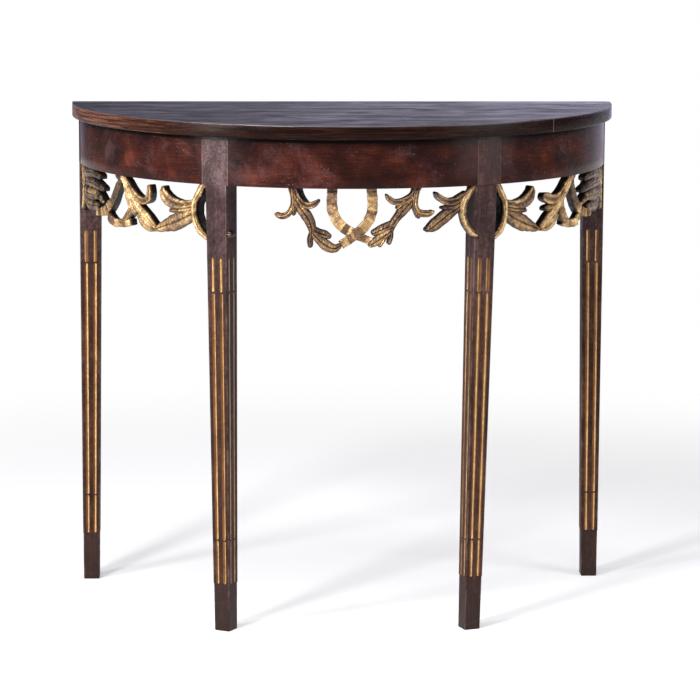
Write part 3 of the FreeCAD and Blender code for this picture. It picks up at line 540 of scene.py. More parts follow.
def leg_finish():
    """Dark wood with upright grain: brown where fluted, purple above, pale on its arrises, with a painted
    highlight of the soft boxes' reflection on the heads and a painted shadow line under the top.
    """
    finish = Finish("leg_mahogany", Specular_IOR_Level=0.14)
    streaks = finish.place((90.0, 90.0, 3.0)).noise(2.0, 6.0, 0.65, 0.3)
    clouds = finish.place((1.0, 1.0, 0.6)).noise(34.0, 8.0, 0.7, 0.3)
    mottle = finish.place().noise(150.0, 5.0, 0.7)
    grain = finish.place((600.0, 600.0, 10.0)).noise(1.5, 3.0)
    blend = 0.25 * streaks + (0.4 * clouds + 0.35 * mottle)
    shaft = finish.zone(*PLAIN_SHAFT_ZONE).mix(blend.ramp(FLUTED_SHAFT), blend.ramp(PLAIN_SHAFT))
    # clouds for the head's colour and its painted highlight
    clouds_and_sheen = 0.55 * clouds + 0.45 * finish.place().noise(330.0, 4.0, 0.7)
    # painted highlight: the share of the soft boxes' reflection painted on this leg's head
    haze = finish.stored("haze")
    head = haze.mix(clouds_and_sheen.ramp(CLEAR_HEAD), clouds_and_sheen.ramp(HIGHLIGHTED_HEAD))
    headed = finish.zone(*HEAD_ZONE)
    aged = finish.zone(*FOOT_ZONE, 0.6, 0.0).mix(headed.mix(shaft, head), FOOT_BROWN)
    worn = finish.stored("rub") * (clouds.band(0.4, 0.65, 0.0, 0.5) + 0.45 * headed)
    rubbed = worn.mix(aged, (headed * haze).mix(CLEAR_ARRIS, HIGHLIGHTED_ARRIS))
    # painted shadow line under the top's overhang
    finish.drive(Base_Color=finish.zone(*PAINTED_SHADOW_LINE_ZONE).mix(rubbed, PAINTED_SHADOW_LINE),
                 Roughness=clouds.band(0.3, 0.7, 0.4, 0.62) - 0.26 * headed)
    finish.bump(grain + 1.5 * mottle, 0.0002)
    return finish.material


def flute_finish():
    """Gold leaf in the flutes on brown: in front a bright line, placed as a painted highlight on the side
    that the light catches, left above the break and right below it; greyer and darker as painted shade on the
    side faces turned from the light, and dark at the flutes' edges as painted shade.
    """
    finish = Finish("flute_gilding", Specular_IOR_Level=0.3)
    across = finish.stored("across")
    track = finish.add("CombineXYZ", {"X": finish.stored("flute"), "Z": finish.height()}, "Vector")
    wander = track.noise(2.2, 2.0, 0.4)
    thin = track.noise(18.0, 6.0, 0.7)
    fine = finish.place((260.0, 260.0, 80.0)).noise(2.0, 4.0)
    # painted shade on the side faces turned from the light
    side_shade = finish.stored("side_shade") * finish.zone(*SIDE_SHADE_ZONE, 0.5, 1.0)
    # painted highlight: the bright line moves to the side that light from the left would catch, left above
    # the break and right below it
    turned = finish.zone(*BREAK_ZONE, 0.36, -0.4) * side_shade.band(0.0, 0.15, 1.0, 0.0)
    centre = turned + wander.band(0.3, 0.7, -0.2, 0.2)
    reach = thin.band(0.3, 0.7, 0.42, 0.2) + 0.45 * side_shade
    bright = (reach - abs(across - centre)).band(-0.1, 0.1)
    leaf = side_shade.mix(fine.ramp(FLUTE_GOLD), SHADED_SIDE_GOLD)
    gilded = bright.mix(side_shade.mix(thin.ramp(FLUTE_BOLE), SHADED_SIDE_BOLE), leaf)
    # painted shade at the flutes' edges, as in a groove
    finish.drive(Base_Color=abs(across).band(0.82, 1.0, 0.0, 0.85).mix(gilded, FLUTE_EDGE_PAINTED_SHADE),
                 Metallic=0.3 * bright, Roughness=fine.band(0.3, 0.7, 0.34, 0.55))
    finish.bump(fine, 0.0002)
    return finish.material


def carved_finish():
    """Water gilding on the carved fronts, brown where worn and, as painted shade, brown in the cuts and near
    the frieze, lighter on the raised parts as painted light, over black sides.
    """
    finish = Finish("carved_gilding", Specular_IOR_Level=0.4)
    place = finish.place()
    patches = place.noise(60.0, 6.0, 0.62, 0.4)
    worn = place.noise(170.0, 6.0, 0.7, 0.3)
    # painted light and shade from the relief, with random patches and wear
    lit = 0.7 * finish.stored("rise") + (0.8 * patches + 0.5 * worn)
    # a fixed drop of the gold's tone, and painted shade near the frieze's underside
    offset_and_painted_shade = finish.zone(*CARVING_SHADE_ZONE, 0.44, 0.58)
    gold = (lit + finish.stored("tone") - offset_and_painted_shade).ramp(CARVED_GOLD)
    dusty = place.noise(34.0, 6.0, 0.65, 0.4).band(0.5, 0.68, 0.0, 0.4)
    gilt = (finish.stored("gilt") + 0.5 * patches).band(0.78, 0.95)
    finish.drive(Base_Color=gilt.mix(patches.ramp(CARVED_SIDES), dusty.mix(gold, CARVED_DUST)),
                 Metallic=0.45 * gilt, Roughness=patches.band(0.3, 0.7, 0.52, 0.32))
    finish.bump(place.noise(420.0, 4.0) + 2.0 * worn, 0.0003)
    return finish.material


def frame_finish():
    """Dry unpolished softwood of the hidden frame."""
    finish = Finish("frame_softwood", Specular_IOR_Level=0.25)
    streaks = finish.place((6.0, 60.0, 60.0)).noise(3.0, 6.0, 0.6, 0.5)
    dust = finish.place().noise(18.0, 5.0)
    finish.drive(Base_Color=dust.band(0.45, 0.75, 0.0, 0.5).mix(streaks.ramp(SOFTWOOD), SOFTWOOD_DUST),
                 Roughness=dust.band(0.3, 0.7, 0.65, 0.85))
    finish.bump(streaks, 0.0004)
    return finish.material


def iron_finish():
    """Dark hand-made iron."""
    finish = Finish("iron", Metallic=0.9)
    rust = finish.place().noise(300.0, 5.0)
    finish.drive(Base_Color=rust.ramp(RUSTY_IRON), Roughness=rust.band(0.3, 0.7, 0.4, 0.75))
    finish.bump(rust, 0.0002)
    return finish.material


FRIEZE = frieze_finish()
TOP = top_finish()
LEG = leg_finish()
FLUTE = flute_finish()
CARVED = carved_finish()
FRAME = frame_finish()
IRON = iron_finish()


# Meshes

def polar_point(radius, turn, z):
    """Point in metres at a radius from the bow's centre, an angle in radians and a height."""
    return Vector((radius * math.sin(turn), BACK_Y - radius * math.cos(turn), z)) * MM


def loft_faces(first, size, count):
    """Faces of a body drawn as rings of points: its sides, then its two ends."""
    faces = []
    last = first + (count - 1) * size
    for low in range(first, last, size):
        high = low + size
        for column in range(size):
            following = (column + 1) % size
            faces.append((low + column, low + following, high + following, high + column))
    faces.append(tuple(reversed(range(first, first + size))))
    faces.append(tuple(range(last, last + size)))
    return faces


def turned_over(faces):
    """Faces that look the other way."""
    return [tuple(reversed(face)) for face in faces]


def add_object(name, data):
    """Object put in the scene."""
    added = bpy.data.objects.new(name, data)
    bpy.context.scene.collection.objects.link(added)
    return added


def make_piece(name, points, faces, material, slot, node, **numbers):
    """Smooth mesh that stands for a node, with numbers kept at its points for its material."""
    mesh = bpy.data.meshes.new(name)
    mesh.from_pydata(points, [], faces)
    for number, values in numbers.items():
        mesh.attributes.new(number, "FLOAT", "POINT").data.foreach_set("value", values)
    mesh.shade_smooth()
    mesh.set_sharp_from_angle(angle=math.radians(SHARP_ANGLE))
    mesh.materials.append(material)
    piece = add_object(name, mesh)
    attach(piece, "root")
    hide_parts(node)
    return piece


def smooth_line(points):
    """Points about a step apart on a smooth line through the given ones."""
    knots = [Vector(point) for point in points]
    knots = [2 * knots[0] - knots[1]] + knots + [2 * knots[-1] - knots[-2]]
    line = []
    for before, start, end, after in zip(knots, knots[1:], knots[2:], knots[3:]):
        count = max(1, round((end - start).xy.length / STROKE_STEP))
        for index in range(count):
            t = index / count
            line.append(0.5 * (2 * start + (end - before) * t
                               + (2 * before - 5 * start + 4 * end - after) * t ** 2
                               + (3 * start - before - 3 * end + after) * t ** 3))
    line.append(knots[-2])
    return line


def crimp_place(along):
    """Number of crimps, whole and part, from the start of a ribbon."""
    return along / CRIMP_LENGTH + CRIMP_WAVER * math.sin(along / CRIMP_WAVER_LENGTH)


def cut_rise(cut, u, along):
    """Height in millimetres of a carved front above its edge, across the stroke and along it."""
    height, power, depth, middles, width = CUT_FRONTS[cut]
    rise = height * (1.0 - u * u) ** power
    for middle in middles:
        rise -= depth * math.exp(-((u - middle) / width) ** 2)
    if cut in RIBBON_CUTS:
        start = STRAP_PLAIN_LENGTH if cut == "strap" else 0.0
        share = min(1.0, max(0.0, (along - start) / CRIMP_LENGTH + 0.5))
        rise += CRIMP_HEIGHT * share * abs(crimp_place(along) % 1.0 * 2.0 - 1.0)
    return rise


def vein_rise(u, along):
    """Height in millimetres of the fine slanting veins of a leaf, which end at its rib and its edges."""
    waver = noise.noise(Vector((along / VEIN_WAVER_LENGTH, VEIN_WAVER_SPREAD * u, VEIN_WAVER_LAYER)))
    slant = along / VEIN_SPACING + VEIN_SLANT * abs(u) + VEIN_WAVER * waver
    fade = (1.0 - u * u) * min(1.0, VEIN_RIB_FADE * abs(u))
    return VEIN_DEPTH * math.cos(2.0 * math.pi * slant) * fade


class Carving:
    """Collects the swept strokes of one carving in one mesh."""

    def __init__(self, anchor, direction, stretch, tone):
        self.anchor = anchor
        self.direction = direction
        self.stretch = stretch
        self.tone = tone
        self.points = []
        self.faces = []
        self.numbers = {"gilt": [], "rise": [], "tone": []}

    def add_ring(self, cut, depth, x, y, along, across, width, tip_share):
        """Ring of points round a stroke: back corner, wall, front columns, wall, back corner."""
        place = Vector((along / OUTLINE_WAVER_LENGTH, x / OUTLINE_WAVER_SPREAD, y / OUTLINE_WAVER_SPREAD))
        half = width / 2.0 * (1.0 + OUTLINE_WAVER * noise.noise(place))
        edge = depth + EDGE_DROP
        back = HOOP_THICKNESS if cut == "hoop" else CARVING_THICKNESS
        cover = GILDING_COVER.get(cut, 1.0)
        shade = 0.0 if cut == "ribbon" else DEPTH_SHADE * depth
        wall = [(BACK_WIDTH, back, 0.0, 0.0),
                (WALL_WAIST, min(edge + WAIST_DROP, back - WAIST_CLEARANCE), 0.0, 0.0),
                (1.0, edge + EDGE_ROLL, EDGE_GILDING * cover, EDGE_PAINTED_LIGHT)]
        ring = [(-u, inward, gilt, bright) for u, inward, gilt, bright in wall]
        for column in range(FRONT_COLUMNS):
            u = math.sin(math.pi * (column / (FRONT_COLUMNS - 1) - 0.5))
            rise = cut_rise(cut, u, along) * tip_share
            marks = TOOL_MARK_DEPTH * noise.noise(Vector((x, y, TOOL_MARK_SPREAD * u)) / TOOL_MARK_SIZE)
            if cut == "leaf":
                marks += vein_rise(u, along) * tip_share
            # painted light and shade, kept as rise: the gold is brighter the higher the front stands, darker
            # down in the cuts
            bright = EDGE_PAINTED_LIGHT + (1.0 - EDGE_PAINTED_LIGHT) * rise / EDGE_DROP
            # painted light and shade: each crimp facet of a ribbon gets its own brightness
            if cut == "ribbon":
                facet = math.floor(2.0 * crimp_place(along))
                tint = noise.noise(Vector((FACET_SPREAD * facet, depth, FACET_LAYER)))
                bright = FACET_PAINTED_LIGHT + FACET_LIGHT_CONTRAST * tint
            ring.append((u, edge - rise - marks, cover, bright))
        ring += reversed(wall)
        if cut == "scroll":
            ring[-1] = (SCROLL_FLARE, back, 0.0, 0.0)
        for u, inward, gilt, bright in ring:
            drop = max(y + across.y * half * u, 0.0)
            arc = self.anchor + self.direction * (self.stretch * x + across.x * half * u)
            turn = arc / CARVING_RADIUS
            self.points.append(polar_point(CARVING_RADIUS - inward, turn, FRIEZE_BOTTOM - drop))
            for number, value in (("gilt", gilt), ("rise", bright), ("tone", self.tone - shade)):
                self.numbers[number].append(value)
        return len(ring)

    def add_stroke(self, cut, depth, knots):
        """Sweep of a cut along a smooth line, with a rounded tip unless it is ribbon."""
        line = smooth_line(knots)
        first = len(self.points)
        for index, (x, y, width) in enumerate(line):
            before = line[max(index - 1, 0)]
            after = line[min(index + 1, len(line) - 1)]
            way = (after - before).xy.normalized()
            across = Vector((-way.y, way.x))
            size = self.add_ring(cut, depth, x, y, index * STROKE_STEP, across, width, 1.0)
        if cut not in RIBBON_CUTS:
            for share in TIP_STEPS:
                slim = math.sqrt(1.0 - share * share)
                tip = Vector((x, y)) + way * (width / 2.0 * share)
                self.add_ring(cut, depth, tip.x, tip.y, len(line) * STROKE_STEP, across, width * slim, slim)
        self.faces += loft_faces(first, size, (len(self.points) - first) // size)


def carve(node, strokes, anchor, direction, tone, stretch=1.0):
    """Gilded carving that stands for a node, its gold brighter with a higher tone."""
    carving = Carving(anchor, direction, stretch, tone)
    for cut, depth, knots in strokes:
        carving.add_stroke(cut, depth, knots)
    faces = turned_over(carving.faces) if direction > 0 else carving.faces
    make_piece(node + "_carved", carving.points, faces, CARVED, "carved_gilding", node, **carving.numbers)


def rim_points(start, end):
    """Points of the rim between two angles, with the whole edge rounding."""
    count = max(1, round(abs(end - start) / RIM_STEP))
    points = []
    for index in range(count + 1):
        turn = math.radians(start + (end - start) * index / count)
        points.append((TOP_RADIUS * math.sin(turn), BACK_Y - TOP_RADIUS * math.cos(turn), 1.0))
    return points


def joint_corner(angle):
    """Corner of a board on the rim, where the boards meet."""
    return (*rim_points(angle, angle)[0][:2], JOINT_ROUNDING_SHARE)


def make_board(name, outline, node):
    """Board of the top: an outline of x, y and the share of the edge rounding."""
    normals = []
    for index in range(len(outline)):
        before = Vector(outline[index - 1][:2])
        after = Vector(outline[(index + 1) % len(outline)][:2])
        way = (after - before).normalized()
        normals.append(Vector((way.y, -way.x)))
    profile = [(TOP_EDGE_ROUNDING * (1.0 - math.sin(turn)), TOP_EDGE_ROUNDING * (1.0 - math.cos(turn)))
               for turn in map(math.radians, TOP_EDGE_TURNS)]
    profile += [(inset, TOP_THICKNESS - lift) for inset, lift in reversed(profile)]
    points = []
    for inset, lift in profile:
        for (x, y, share), normal in zip(outline, normals):
            points.append(Vector((x - normal.x * inset * share, y - normal.y * inset * share,
                                  TOP_UNDERSIDE + lift)) * MM)
    faces = loft_faces(0, len(outline), len(profile))
    seam = [1.0 if share == JOINT_ROUNDING_SHARE and x > 0 else 0.0 for x, _, share in outline]
    arc = [math.atan2(x, BACK_Y - y) * TOP_RADIUS * MM for x, y, _ in outline]
    make_piece(name, points, faces, TOP, "top_wood", node, seam=seam * len(profile), arc=arc * len(profile))


def make_veneer(name, start, end, node):
    """Curved veneer between two angles, with its lower edge a little rounded."""
    columns = max(2, round(abs(end - start) / VENEER_STEP))
    soft = VENEER_EDGE_ROUNDING
    height = TOP_UNDERSIDE - FRIEZE_BOTTOM
    middle = ROUNDING_MIDDLE * soft
    profile = [(VENEER_THICKNESS, 0.0), (soft, 0.0), (middle, middle), (0.0, soft)]
    profile += [(0.0, height * share) for share in VENEER_LEVELS]
    profile.append((VENEER_THICKNESS, height))
    points = []
    plan = []
    for column in range(columns + 1):
        turn = math.radians(start + (end - start) * column / columns)
        for inset, lift in profile:
            points.append(polar_point(FRIEZE_RADIUS - inset, turn, FRIEZE_BOTTOM + lift))
            plan.append((FRIEZE_RADIUS * turn * MM, lift * MM))
    faces = turned_over(loft_faces(0, len(profile), columns + 1))
    veneer = make_piece(name, points, faces, FRIEZE, "veneer", node).data
    layer = veneer.uv_layers.new(name="bow")
    for loop in veneer.loops:
        layer.data[loop.index].uv = plan[loop.vertex_index]


class Shaft:
    """Shaft of a leg, drawn with X along its outer face and Y into the leg, then put in place."""

    def __init__(self, anchor, angle, lean, inset, setback, flute_bottom, rear):
        self.place = Matrix.Translation(anchor) @ Matrix.Rotation(math.radians(angle), 4, "Z")
        self.lean = lean
        self.inset = inset
        self.setback = setback
        half_bridge = FLUTE_BRIDGE / 2.0
        self.foot_top = flute_bottom - half_bridge
        self.stretches = ((flute_bottom, FLUTE_LOWER_BREAK - half_bridge),
                          (FLUTE_LOWER_BREAK + half_bridge, FLUTE_UPPER_BREAK - half_bridge),
                          (FLUTE_UPPER_BREAK + half_bridge, FLUTE_TOP))
        self.plain_faces = (BACK_FACE,) if rear else ()

    def size(self, z):
        """Width of the shaft at a height."""
        share = (FRIEZE_BOTTOM - z) / FRIEZE_BOTTOM
        return LEG_TOP_SIZE + (LEG_FOOT_SIZE - LEG_TOP_SIZE) * share

    def put(self, x, y, z):
        """Point of the table in metres for a place measured from the shaft's middle."""
        share = (FRIEZE_BOTTOM - z) / FRIEZE_BOTTOM
        middle = Vector((self.lean * share, self.setback + self.inset * share + self.size(z) / 2.0, z))
        return self.place @ (middle + Vector((x, y, 0.0))) * MM

    def opening(self, z):
        """How far the flutes are open at a height, from 0 outside them to 1, with round ends."""
        for bottom, top in self.stretches:
            if bottom < z < top:
                depth = min(1.0, (z - bottom) / FLUTE_END, (top - z) / FLUTE_END)
                return math.sqrt(1.0 - (1.0 - depth) ** 2)
        return 0.0

    def heights(self):
        """Heights of the rings: close together at the ends of the flutes and at the foot."""
        levels = {0.0, ROUNDING_MIDDLE * FOOT_ROUNDING, FOOT_ROUNDING, FRIEZE_BOTTOM, self.foot_top}
        levels.add(self.foot_top - FOOT_STEP)
        for bottom, top in self.stretches:
            for share in FLUTE_END_RINGS:
                levels.add(bottom + share * FLUTE_END)
                levels.add(top - share * FLUTE_END)
            count = max(1, round((top - bottom) / RING_SPACING))
            for step in range(1, count):
                levels.add(bottom + (top - bottom) * step / count)
        for step in range(1, PLAIN_RINGS):
            levels.add(FLUTE_TOP + (FRIEZE_BOTTOM - FLUTE_TOP) * step / PLAIN_RINGS)
            levels.add(self.stretches[0][0] * step / PLAIN_RINGS)
        return sorted(levels)

    def flute_profile(self, size, opening, side):
        """Points across a flute on one side of a face: place along the face and depth."""
        middle = side * FLUTE_OFFSET_SHARE * size
        half = FLUTE_HALF_WIDTH_SHARE * size * max(opening, CLOSED_FLUTE)
        depth = FLUTE_DEPTH_SHARE * size * opening
        return [(middle + u * half, depth * (1.0 - u * u)) for u in FLUTE_PLACES]

    def ring(self, z):
        """Outline of the shaft at a height, with its rubbed corners marked."""
        size = self.size(z)
        half = size / 2.0
        if z < self.foot_top:
            half -= FOOT_STEP
        if z < FOOT_ROUNDING:
            half -= FOOT_ROUNDING - math.sqrt(FOOT_ROUNDING ** 2 - (FOOT_ROUNDING - z) ** 2)
        points = []
        rub = []
        for face, turn in enumerate(FACE_TURNS):
            wear = noise.noise(Vector((face * ARRIS_WEAR_SPREAD, self.lean, z / ARRIS_WEAR_LENGTH)))
            corner = ARRIS_ROUNDING + abs(ARRIS_WEAR * wear)
            bend = corner * (1.0 - math.sqrt(0.5))
            outline = [(-half, corner - half), (bend - half, bend - half), (corner - half, -half),
                       (2.0 * corner - half, -half)]
            opening = 0.0 if face in self.plain_faces else self.opening(z)
            for side in (LEFT, RIGHT):
                outline += [(along, depth - half) for along, depth in self.flute_profile(size, opening, side)]
            outline.append((half - 2.0 * corner, -half))
            turned = [turn @ Vector(place) for place in outline]
            points += [self.put(place.x, place.y, z) for place in turned]
            rub += CORNER_RUB + [0.0] * (len(outline) - len(CORNER_RUB))
        return points, rub

    def wood(self):
        """Points, faces and rubbed corners of the shaft."""
        levels = self.heights()
        points = []
        rub = []
        for z in levels:
            ring, rubbed = self.ring(z)
            points += ring
            rub += rubbed
        return points, loft_faces(0, len(ring), len(levels)), rub

    def gilding(self):
        """Points and faces of the gilded linings, and the numbers for their finish."""
        points = []
        faces = []
        numbers = {"across": [], "flute": [], "side_shade": []}
        fluted = [face for face in range(len(FACE_TURNS)) if face not in self.plain_faces]
        for (bottom, top), face, (flute, side) in product(self.stretches, fluted, enumerate((LEFT, RIGHT))):
            first = len(points)
            inside = [z for z in self.heights() if bottom < z < top]
            for z in inside:
                size = self.size(z)
                for u, (along, depth) in zip(FLUTE_PLACES, self.flute_profile(size, self.opening(z), side)):
                    lift = GILDING_LIFT if abs(u) < 1.0 else 0.0
                    point = FACE_TURNS[face] @ Vector((along, depth - lift - size / 2.0))
                    points.append(self.put(point.x, point.y, z))
                    numbers["across"].append(u)
                    numbers["flute"].append(face * 2.0 + flute + self.lean)
                    # painted shade for the flutes of faces turned from the light
                    numbers["side_shade"].append(SIDE_PAINTED_SHADE.get(face, 0.0))
            for row, column in product(range(len(inside) - 1), range(FLUTE_COLUMNS - 1)):
                low = first + row * FLUTE_COLUMNS + column
                high = low + FLUTE_COLUMNS
                faces.append((low, low + 1, high + 1, high))
        return points, faces, numbers


def add_bowed_head(points, faces, rub, angles):
    """Head block of a front leg, whose face follows the bow between two angles."""
    first = len(points)
    start, end = angles
    steps = [start, start + HEAD_JOINT_ANGLE]
    steps += [start + (end - start) * share for share in HEAD_COLUMNS]
    steps += [end - HEAD_JOINT_ANGLE, end]
    soft = HEAD_EDGE_ROUNDING
    profile = ((LEG_TOP_SIZE, FRIEZE_BOTTOM), (soft, FRIEZE_BOTTOM), (0.0, FRIEZE_BOTTOM + soft),
               (0.0, TOP_UNDERSIDE), (LEG_TOP_SIZE, TOP_UNDERSIDE))
    for step in steps:
        points += [polar_point(FRIEZE_RADIUS - inset, math.radians(step), z) for inset, z in profile]
        rub += [1.0 if step in angles else 0.0] * len(profile)
    faces += turned_over(loft_faces(first, len(profile), len(steps)))


def add_square_head(points, faces, rub, shaft):
    """Head block of a rear leg, straight up from its shaft."""
    first = len(points)
    half = LEG_TOP_SIZE / 2.0
    square = ((-half, -half), (half, -half), (half, half), (-half, half))
    corners = [shaft.put(x, y, FRIEZE_BOTTOM) for x, y in square]
    for z in (FRIEZE_BOTTOM, TOP_UNDERSIDE):
        points += [Vector((corner.x, corner.y, z * MM)) for corner in corners]
    rub += [0.0] * (len(points) - first)
    faces += loft_faces(first, len(corners), 2)


def make_leg(name, shaft, head_angles=None):
    """A leg with its head, and the gilding in its flutes."""
    points, faces, rub = shaft.wood()
    if head_angles:
        add_bowed_head(points, faces, rub, head_angles)
    else:
        add_square_head(points, faces, rub, shaft)
    # painted highlight on the head, kept as haze
    haze = [HEAD_PAINTED_HIGHLIGHT[name]] * len(points)
    make_piece(name + "_wood", points, faces, LEG, "leg_wood", name + "_leg", rub=rub, haze=haze)
    points, faces, numbers = shaft.gilding()
    make_piece(name + "_gilt", points, faces, FLUTE, "flute_gilding", name + "_gilding", **numbers)


# Top: two boards with a fine joint and one worn corner at the right of the back
joint_angle = math.degrees(math.acos((BACK_Y - BOARD_JOINT_Y) / TOP_RADIUS))
seam_angle = math.degrees(SEAM_WIDTH / TOP_RADIUS)
worn_angle = 90.0 - math.degrees(WORN_CORNER / TOP_RADIUS)
front_outline = [joint_corner(-joint_angle)]
front_outline += rim_points(-joint_angle + seam_angle, joint_angle - seam_angle)
front_outline.append(joint_corner(joint_angle))
make_board("top_front", front_outline, "top_front_board")
back_outline = rim_points(-90.0, -joint_angle - seam_angle)
back_outline += [joint_corner(-joint_angle), joint_corner(joint_angle)]
back_outline += rim_points(joint_angle + seam_angle, worn_angle)
for inward, forward in WORN_CORNER_SHAPE:
    back_outline.append((TOP_RADIUS - inward * WORN_CORNER, BACK_Y - forward * WORN_CORNER, 1.0))
make_board("top_back", back_outline, "top_back_board")

# Legs: the front pair faces out from the bow, its right shaft twisted a little, the rear pair faces forward
taper = LEG_TOP_SIZE - LEG_FOOT_SIZE
rear_x = FRIEZE_RADIUS - LEG_TOP_SIZE / 2.0
rear_y = BACK_Y - LEG_TOP_SIZE
leg_turn = math.radians(FRONT_LEG_ANGLE)
front_x = FRIEZE_RADIUS * math.sin(leg_turn)
front_y = BACK_Y - FRIEZE_RADIUS * math.cos(leg_turn)
front_legs = (("front_left", LEFT, 0.0, LEFT_FOOT_LEAN, FRONT_LEFT_FLUTE_BOTTOM, LEFT_HEAD_ANGLES),
              ("front_right", RIGHT, RIGHT_SHAFT_TWIST, RIGHT_FOOT_LEAN, FRONT_RIGHT_FLUTE_BOTTOM,
               RIGHT_HEAD_ANGLES))
for name, side, twist, lean, flute_bottom, head_angles in front_legs:
    shaft = Shaft(Vector((side * front_x, front_y, 0.0)), side * (FRONT_LEG_ANGLE - twist), -side * lean, 0.0,
                  FRONT_SHAFT_SETBACK, flute_bottom, False)
    make_leg(name, shaft, head_angles)
for name, side in (("rear_left", LEFT), ("rear_right", RIGHT)):
    make_leg(name, Shaft(Vector((side * rear_x, rear_y, 0.0)), 0.0, side * taper / 2.0, taper, 0.0,
                         REAR_FLUTE_BOTTOM, True))

# Frieze: veneer between the leg heads
rear_end = math.degrees(math.acos(LEG_TOP_SIZE / FRIEZE_RADIUS))
make_veneer("frieze_front", LEFT_HEAD_ANGLES[1], RIGHT_HEAD_ANGLES[0], "front_veneer")
make_veneer("frieze_left", -rear_end, LEFT_HEAD_ANGLES[0], "left_veneer")
make_veneer("frieze_right", RIGHT_HEAD_ANGLES[1], rear_end, "right_veneer")

# Carvings
leg_arc = leg_turn * CARVING_RADIUS
inner_side_arc = leg_arc - LEG_TOP_SIZE / 2.0
outer_side_arc = leg_arc + LEG_TOP_SIZE / 2.0
rear_face_arc = math.acos(LEG_TOP_SIZE / CARVING_RADIUS) * CARVING_RADIUS
side_bay_arc = (leg_arc + math.radians(90.0) * CARVING_RADIUS) / 2.0
carve("ribbon_loop", RIBBON_LOOP, 0.0, RIGHT, 0.0)
carve("left_spray", LEFT_SPRAY, 0.0, RIGHT, -0.07)
carve("right_spray", RIGHT_SPRAY, 0.0, RIGHT, -0.07)
carve("middle_scroll", MIDDLE_SCROLL, inner_side_arc, LEFT, -0.08)
carve("scroll_stub", SCROLL_STUB, -inner_side_arc, RIGHT, -0.2)
carve("left_bay_front_scroll", SIDE_SCROLL, -outer_side_arc, LEFT, 0.04, LEFT_FRONT_SCROLL_STRETCH)
carve("left_bay_rear_scroll", REAR_SCROLL, -rear_face_arc, RIGHT, 0.0, LEFT_REAR_SCROLL_STRETCH)
carve("left_bay_spray", LEFT_BAY_SPRAY, -side_bay_arc, LEFT, 0.04)
carve("left_bay_ribbon", LEFT_BAY_RIBBON, -side_bay_arc, LEFT, 0.03)
carve("right_bay_front_scroll", SIDE_SCROLL, outer_side_arc, RIGHT, 0.0)
carve("right_bay_rear_scroll", REAR_SCROLL, rear_face_arc, LEFT, 0.02)
carve("right_bay_spray", RIGHT_BAY_SPRAY, side_bay_arc, RIGHT, 0.06)
carve("right_bay_ribbon", RIGHT_BAY_RIBBON, side_bay_arc, RIGHT, 0.08)

# Solids that stay as they are, with their finishes
finishes = {"rail": FRAME, "bearer": FRAME, "blocks": FRAME, "tongue": FRAME, "screws": IRON, "pins": IRON}
for name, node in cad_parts.items():
    kind = name.split("_")[-1]
    if kind in finishes:
        node.data.materials.clear()
        node.data.materials.append(finishes[kind])

# Floor, in metres: white, fading into the white surroundings, with soft shadows
FLOOR_RADIUS = 6.0
FLOOR_SIDES = 72
FLOOR_FADE = (0.9, 2.2)
FLOOR_GLOW = 0.38
floor_turns = [2.0 * math.pi * side / FLOOR_SIDES for side in range(FLOOR_SIDES)]
floor_ring = [FLOOR_RADIUS * Vector((math.cos(turn), math.sin(turn), 0.0)) for turn in floor_turns]
floor_mesh = bpy.data.meshes.new("floor")
floor_mesh.from_pydata(floor_ring, [], [tuple(range(FLOOR_SIDES))])
floor = add_object("floor", floor_mesh)
ground = Finish("floor_white", Base_Color=linear(*FLOOR_COLOUR), Roughness=0.9, Specular_IOR_Level=0.0)
fade = ground.add("VectorMath", {0: ground.place()}, "Value", operation="LENGTH").band(*FLOOR_FADE)
camera_ray, glossy_ray, transmission_ray = ground.rays()
seen = camera_ray.most(glossy_ray).most(transmission_ray)
white = ground.add("Emission", {"Color": WHITE, "Strength": seen}, "Emission")
glow = ground.add("Emission", {"Color": WHITE, "Strength": FLOOR_GLOW * seen}, "Emission")
shaded = Signal(ground, ground.shader.outputs["BSDF"])
near = ground.add("AddShader", {0: shaded, 1: glow}, "Shader")
ground.feed(ground.tree.nodes["Material Output"].inputs["Surface"],
            ground.add("MixShader", {0: fade, 1: near, 2: white}, "Shader"))
floor_mesh.materials.append(ground.material)

# Light: an even fill, white for the camera, and for reflections a dim room with a white backdrop behind
ROOM_LEVEL = 0.03
BACKDROP_LEVEL = 0.92
BACKDROP_TINT = (0.77, 0.76, 1.0, 1.0)
BACKDROP_EDGE = (0.7, 1.05)
BACKDROP_SLANT = 0.25
FILL_LEVEL = 0.22
world = bpy.data.worlds.new("studio")
bpy.context.scene.world = world
world.use_nodes = True
studio = Nodes(world.node_tree)
camera_ray, glossy_ray, transmission_ray = studio.rays()
direction = studio.add("TexCoord", {}, "Generated")
behind = BACKDROP_SLANT * direction.axis("X") + direction.axis("Y")
backdrop = behind.band(*BACKDROP_EDGE, ROOM_LEVEL, BACKDROP_LEVEL)
level = studio.add("Mix", {0: glossy_ray, 2: FILL_LEVEL, 3: backdrop}, 0)
tint = studio.add("Mix", {0: glossy_ray, 6: WHITE, 7: BACKDROP_TINT}, 2, data_type="RGBA")
background = studio.tree.nodes["Background"]
studio.feed(background.inputs["Color"], tint)
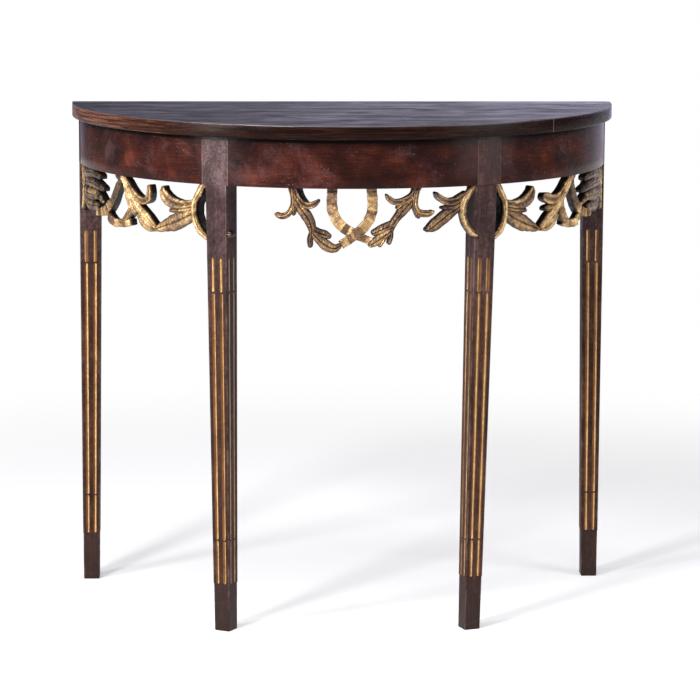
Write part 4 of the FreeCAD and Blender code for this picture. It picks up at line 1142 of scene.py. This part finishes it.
studio.feed(background.inputs["Strength"], camera_ray.most(transmission_ray).most(level))

# Two tall soft boxes at the sides, a small key box in front on the left and a wide box above
LAMP_TARGET = Vector((0.0, 0.0, 0.5))


def soft_box(name, azimuth, elevation, distance, width, height, watts):
    """Area light that faces the table's middle, with its sizes in metres."""
    lamp = bpy.data.lights.new(name, "AREA")
    lamp.shape = "RECTANGLE"
    lamp.size = width
    lamp.size_y = height
    lamp.energy = watts
    box = add_object(name, lamp)
    turn = math.radians(azimuth)
    rise = math.radians(elevation)
    away = Vector((math.sin(turn) * math.cos(rise), -math.cos(turn) * math.cos(rise), math.sin(rise)))
    box.location = LAMP_TARGET + away * distance
    box.rotation_euler = away.to_track_quat("Z", "Y").to_euler()


soft_box("left_box", -57.0, 18.0, 2.8, 0.42, 2.2, 46.0)
soft_box("right_box", 60.0, 18.0, 2.8, 1.2, 2.2, 34.0)
soft_box("key_box", -36.0, 32.0, 3.0, 0.4, 0.4, 56.0)
soft_box("top_box", -10.0, 72.0, 2.6, 1.8, 1.2, 34.0)

# Camera at the photograph's viewpoint, with its angles in radians
CAMERA_PLACE = (-207.66, -5132.07, 1281.02)
CAMERA_YAW = -0.04155
CAMERA_PITCH = 0.16402
CAMERA_ROLL = 0.00392
CAMERA_LENS = 163.11
camera = add_object("camera", bpy.data.cameras.new("camera"))
camera.data.lens = CAMERA_LENS
flat = math.cos(CAMERA_PITCH)
forward = Vector((-math.sin(CAMERA_YAW) * flat, math.cos(CAMERA_YAW) * flat, -math.sin(CAMERA_PITCH)))
level_right = Vector((math.cos(CAMERA_YAW), math.sin(CAMERA_YAW), 0.0))
level_up = level_right.cross(forward)
right = math.cos(CAMERA_ROLL) * level_right + math.sin(CAMERA_ROLL) * level_up
up = math.cos(CAMERA_ROLL) * level_up - math.sin(CAMERA_ROLL) * level_right
turned = Matrix((right, up, -forward)).transposed().to_4x4()
camera.matrix_world = Matrix.Translation(Vector(CAMERA_PLACE) * MM) @ turned
bpy.context.scene.camera = camera
bpy.context.scene.view_settings.view_transform = "Standard"
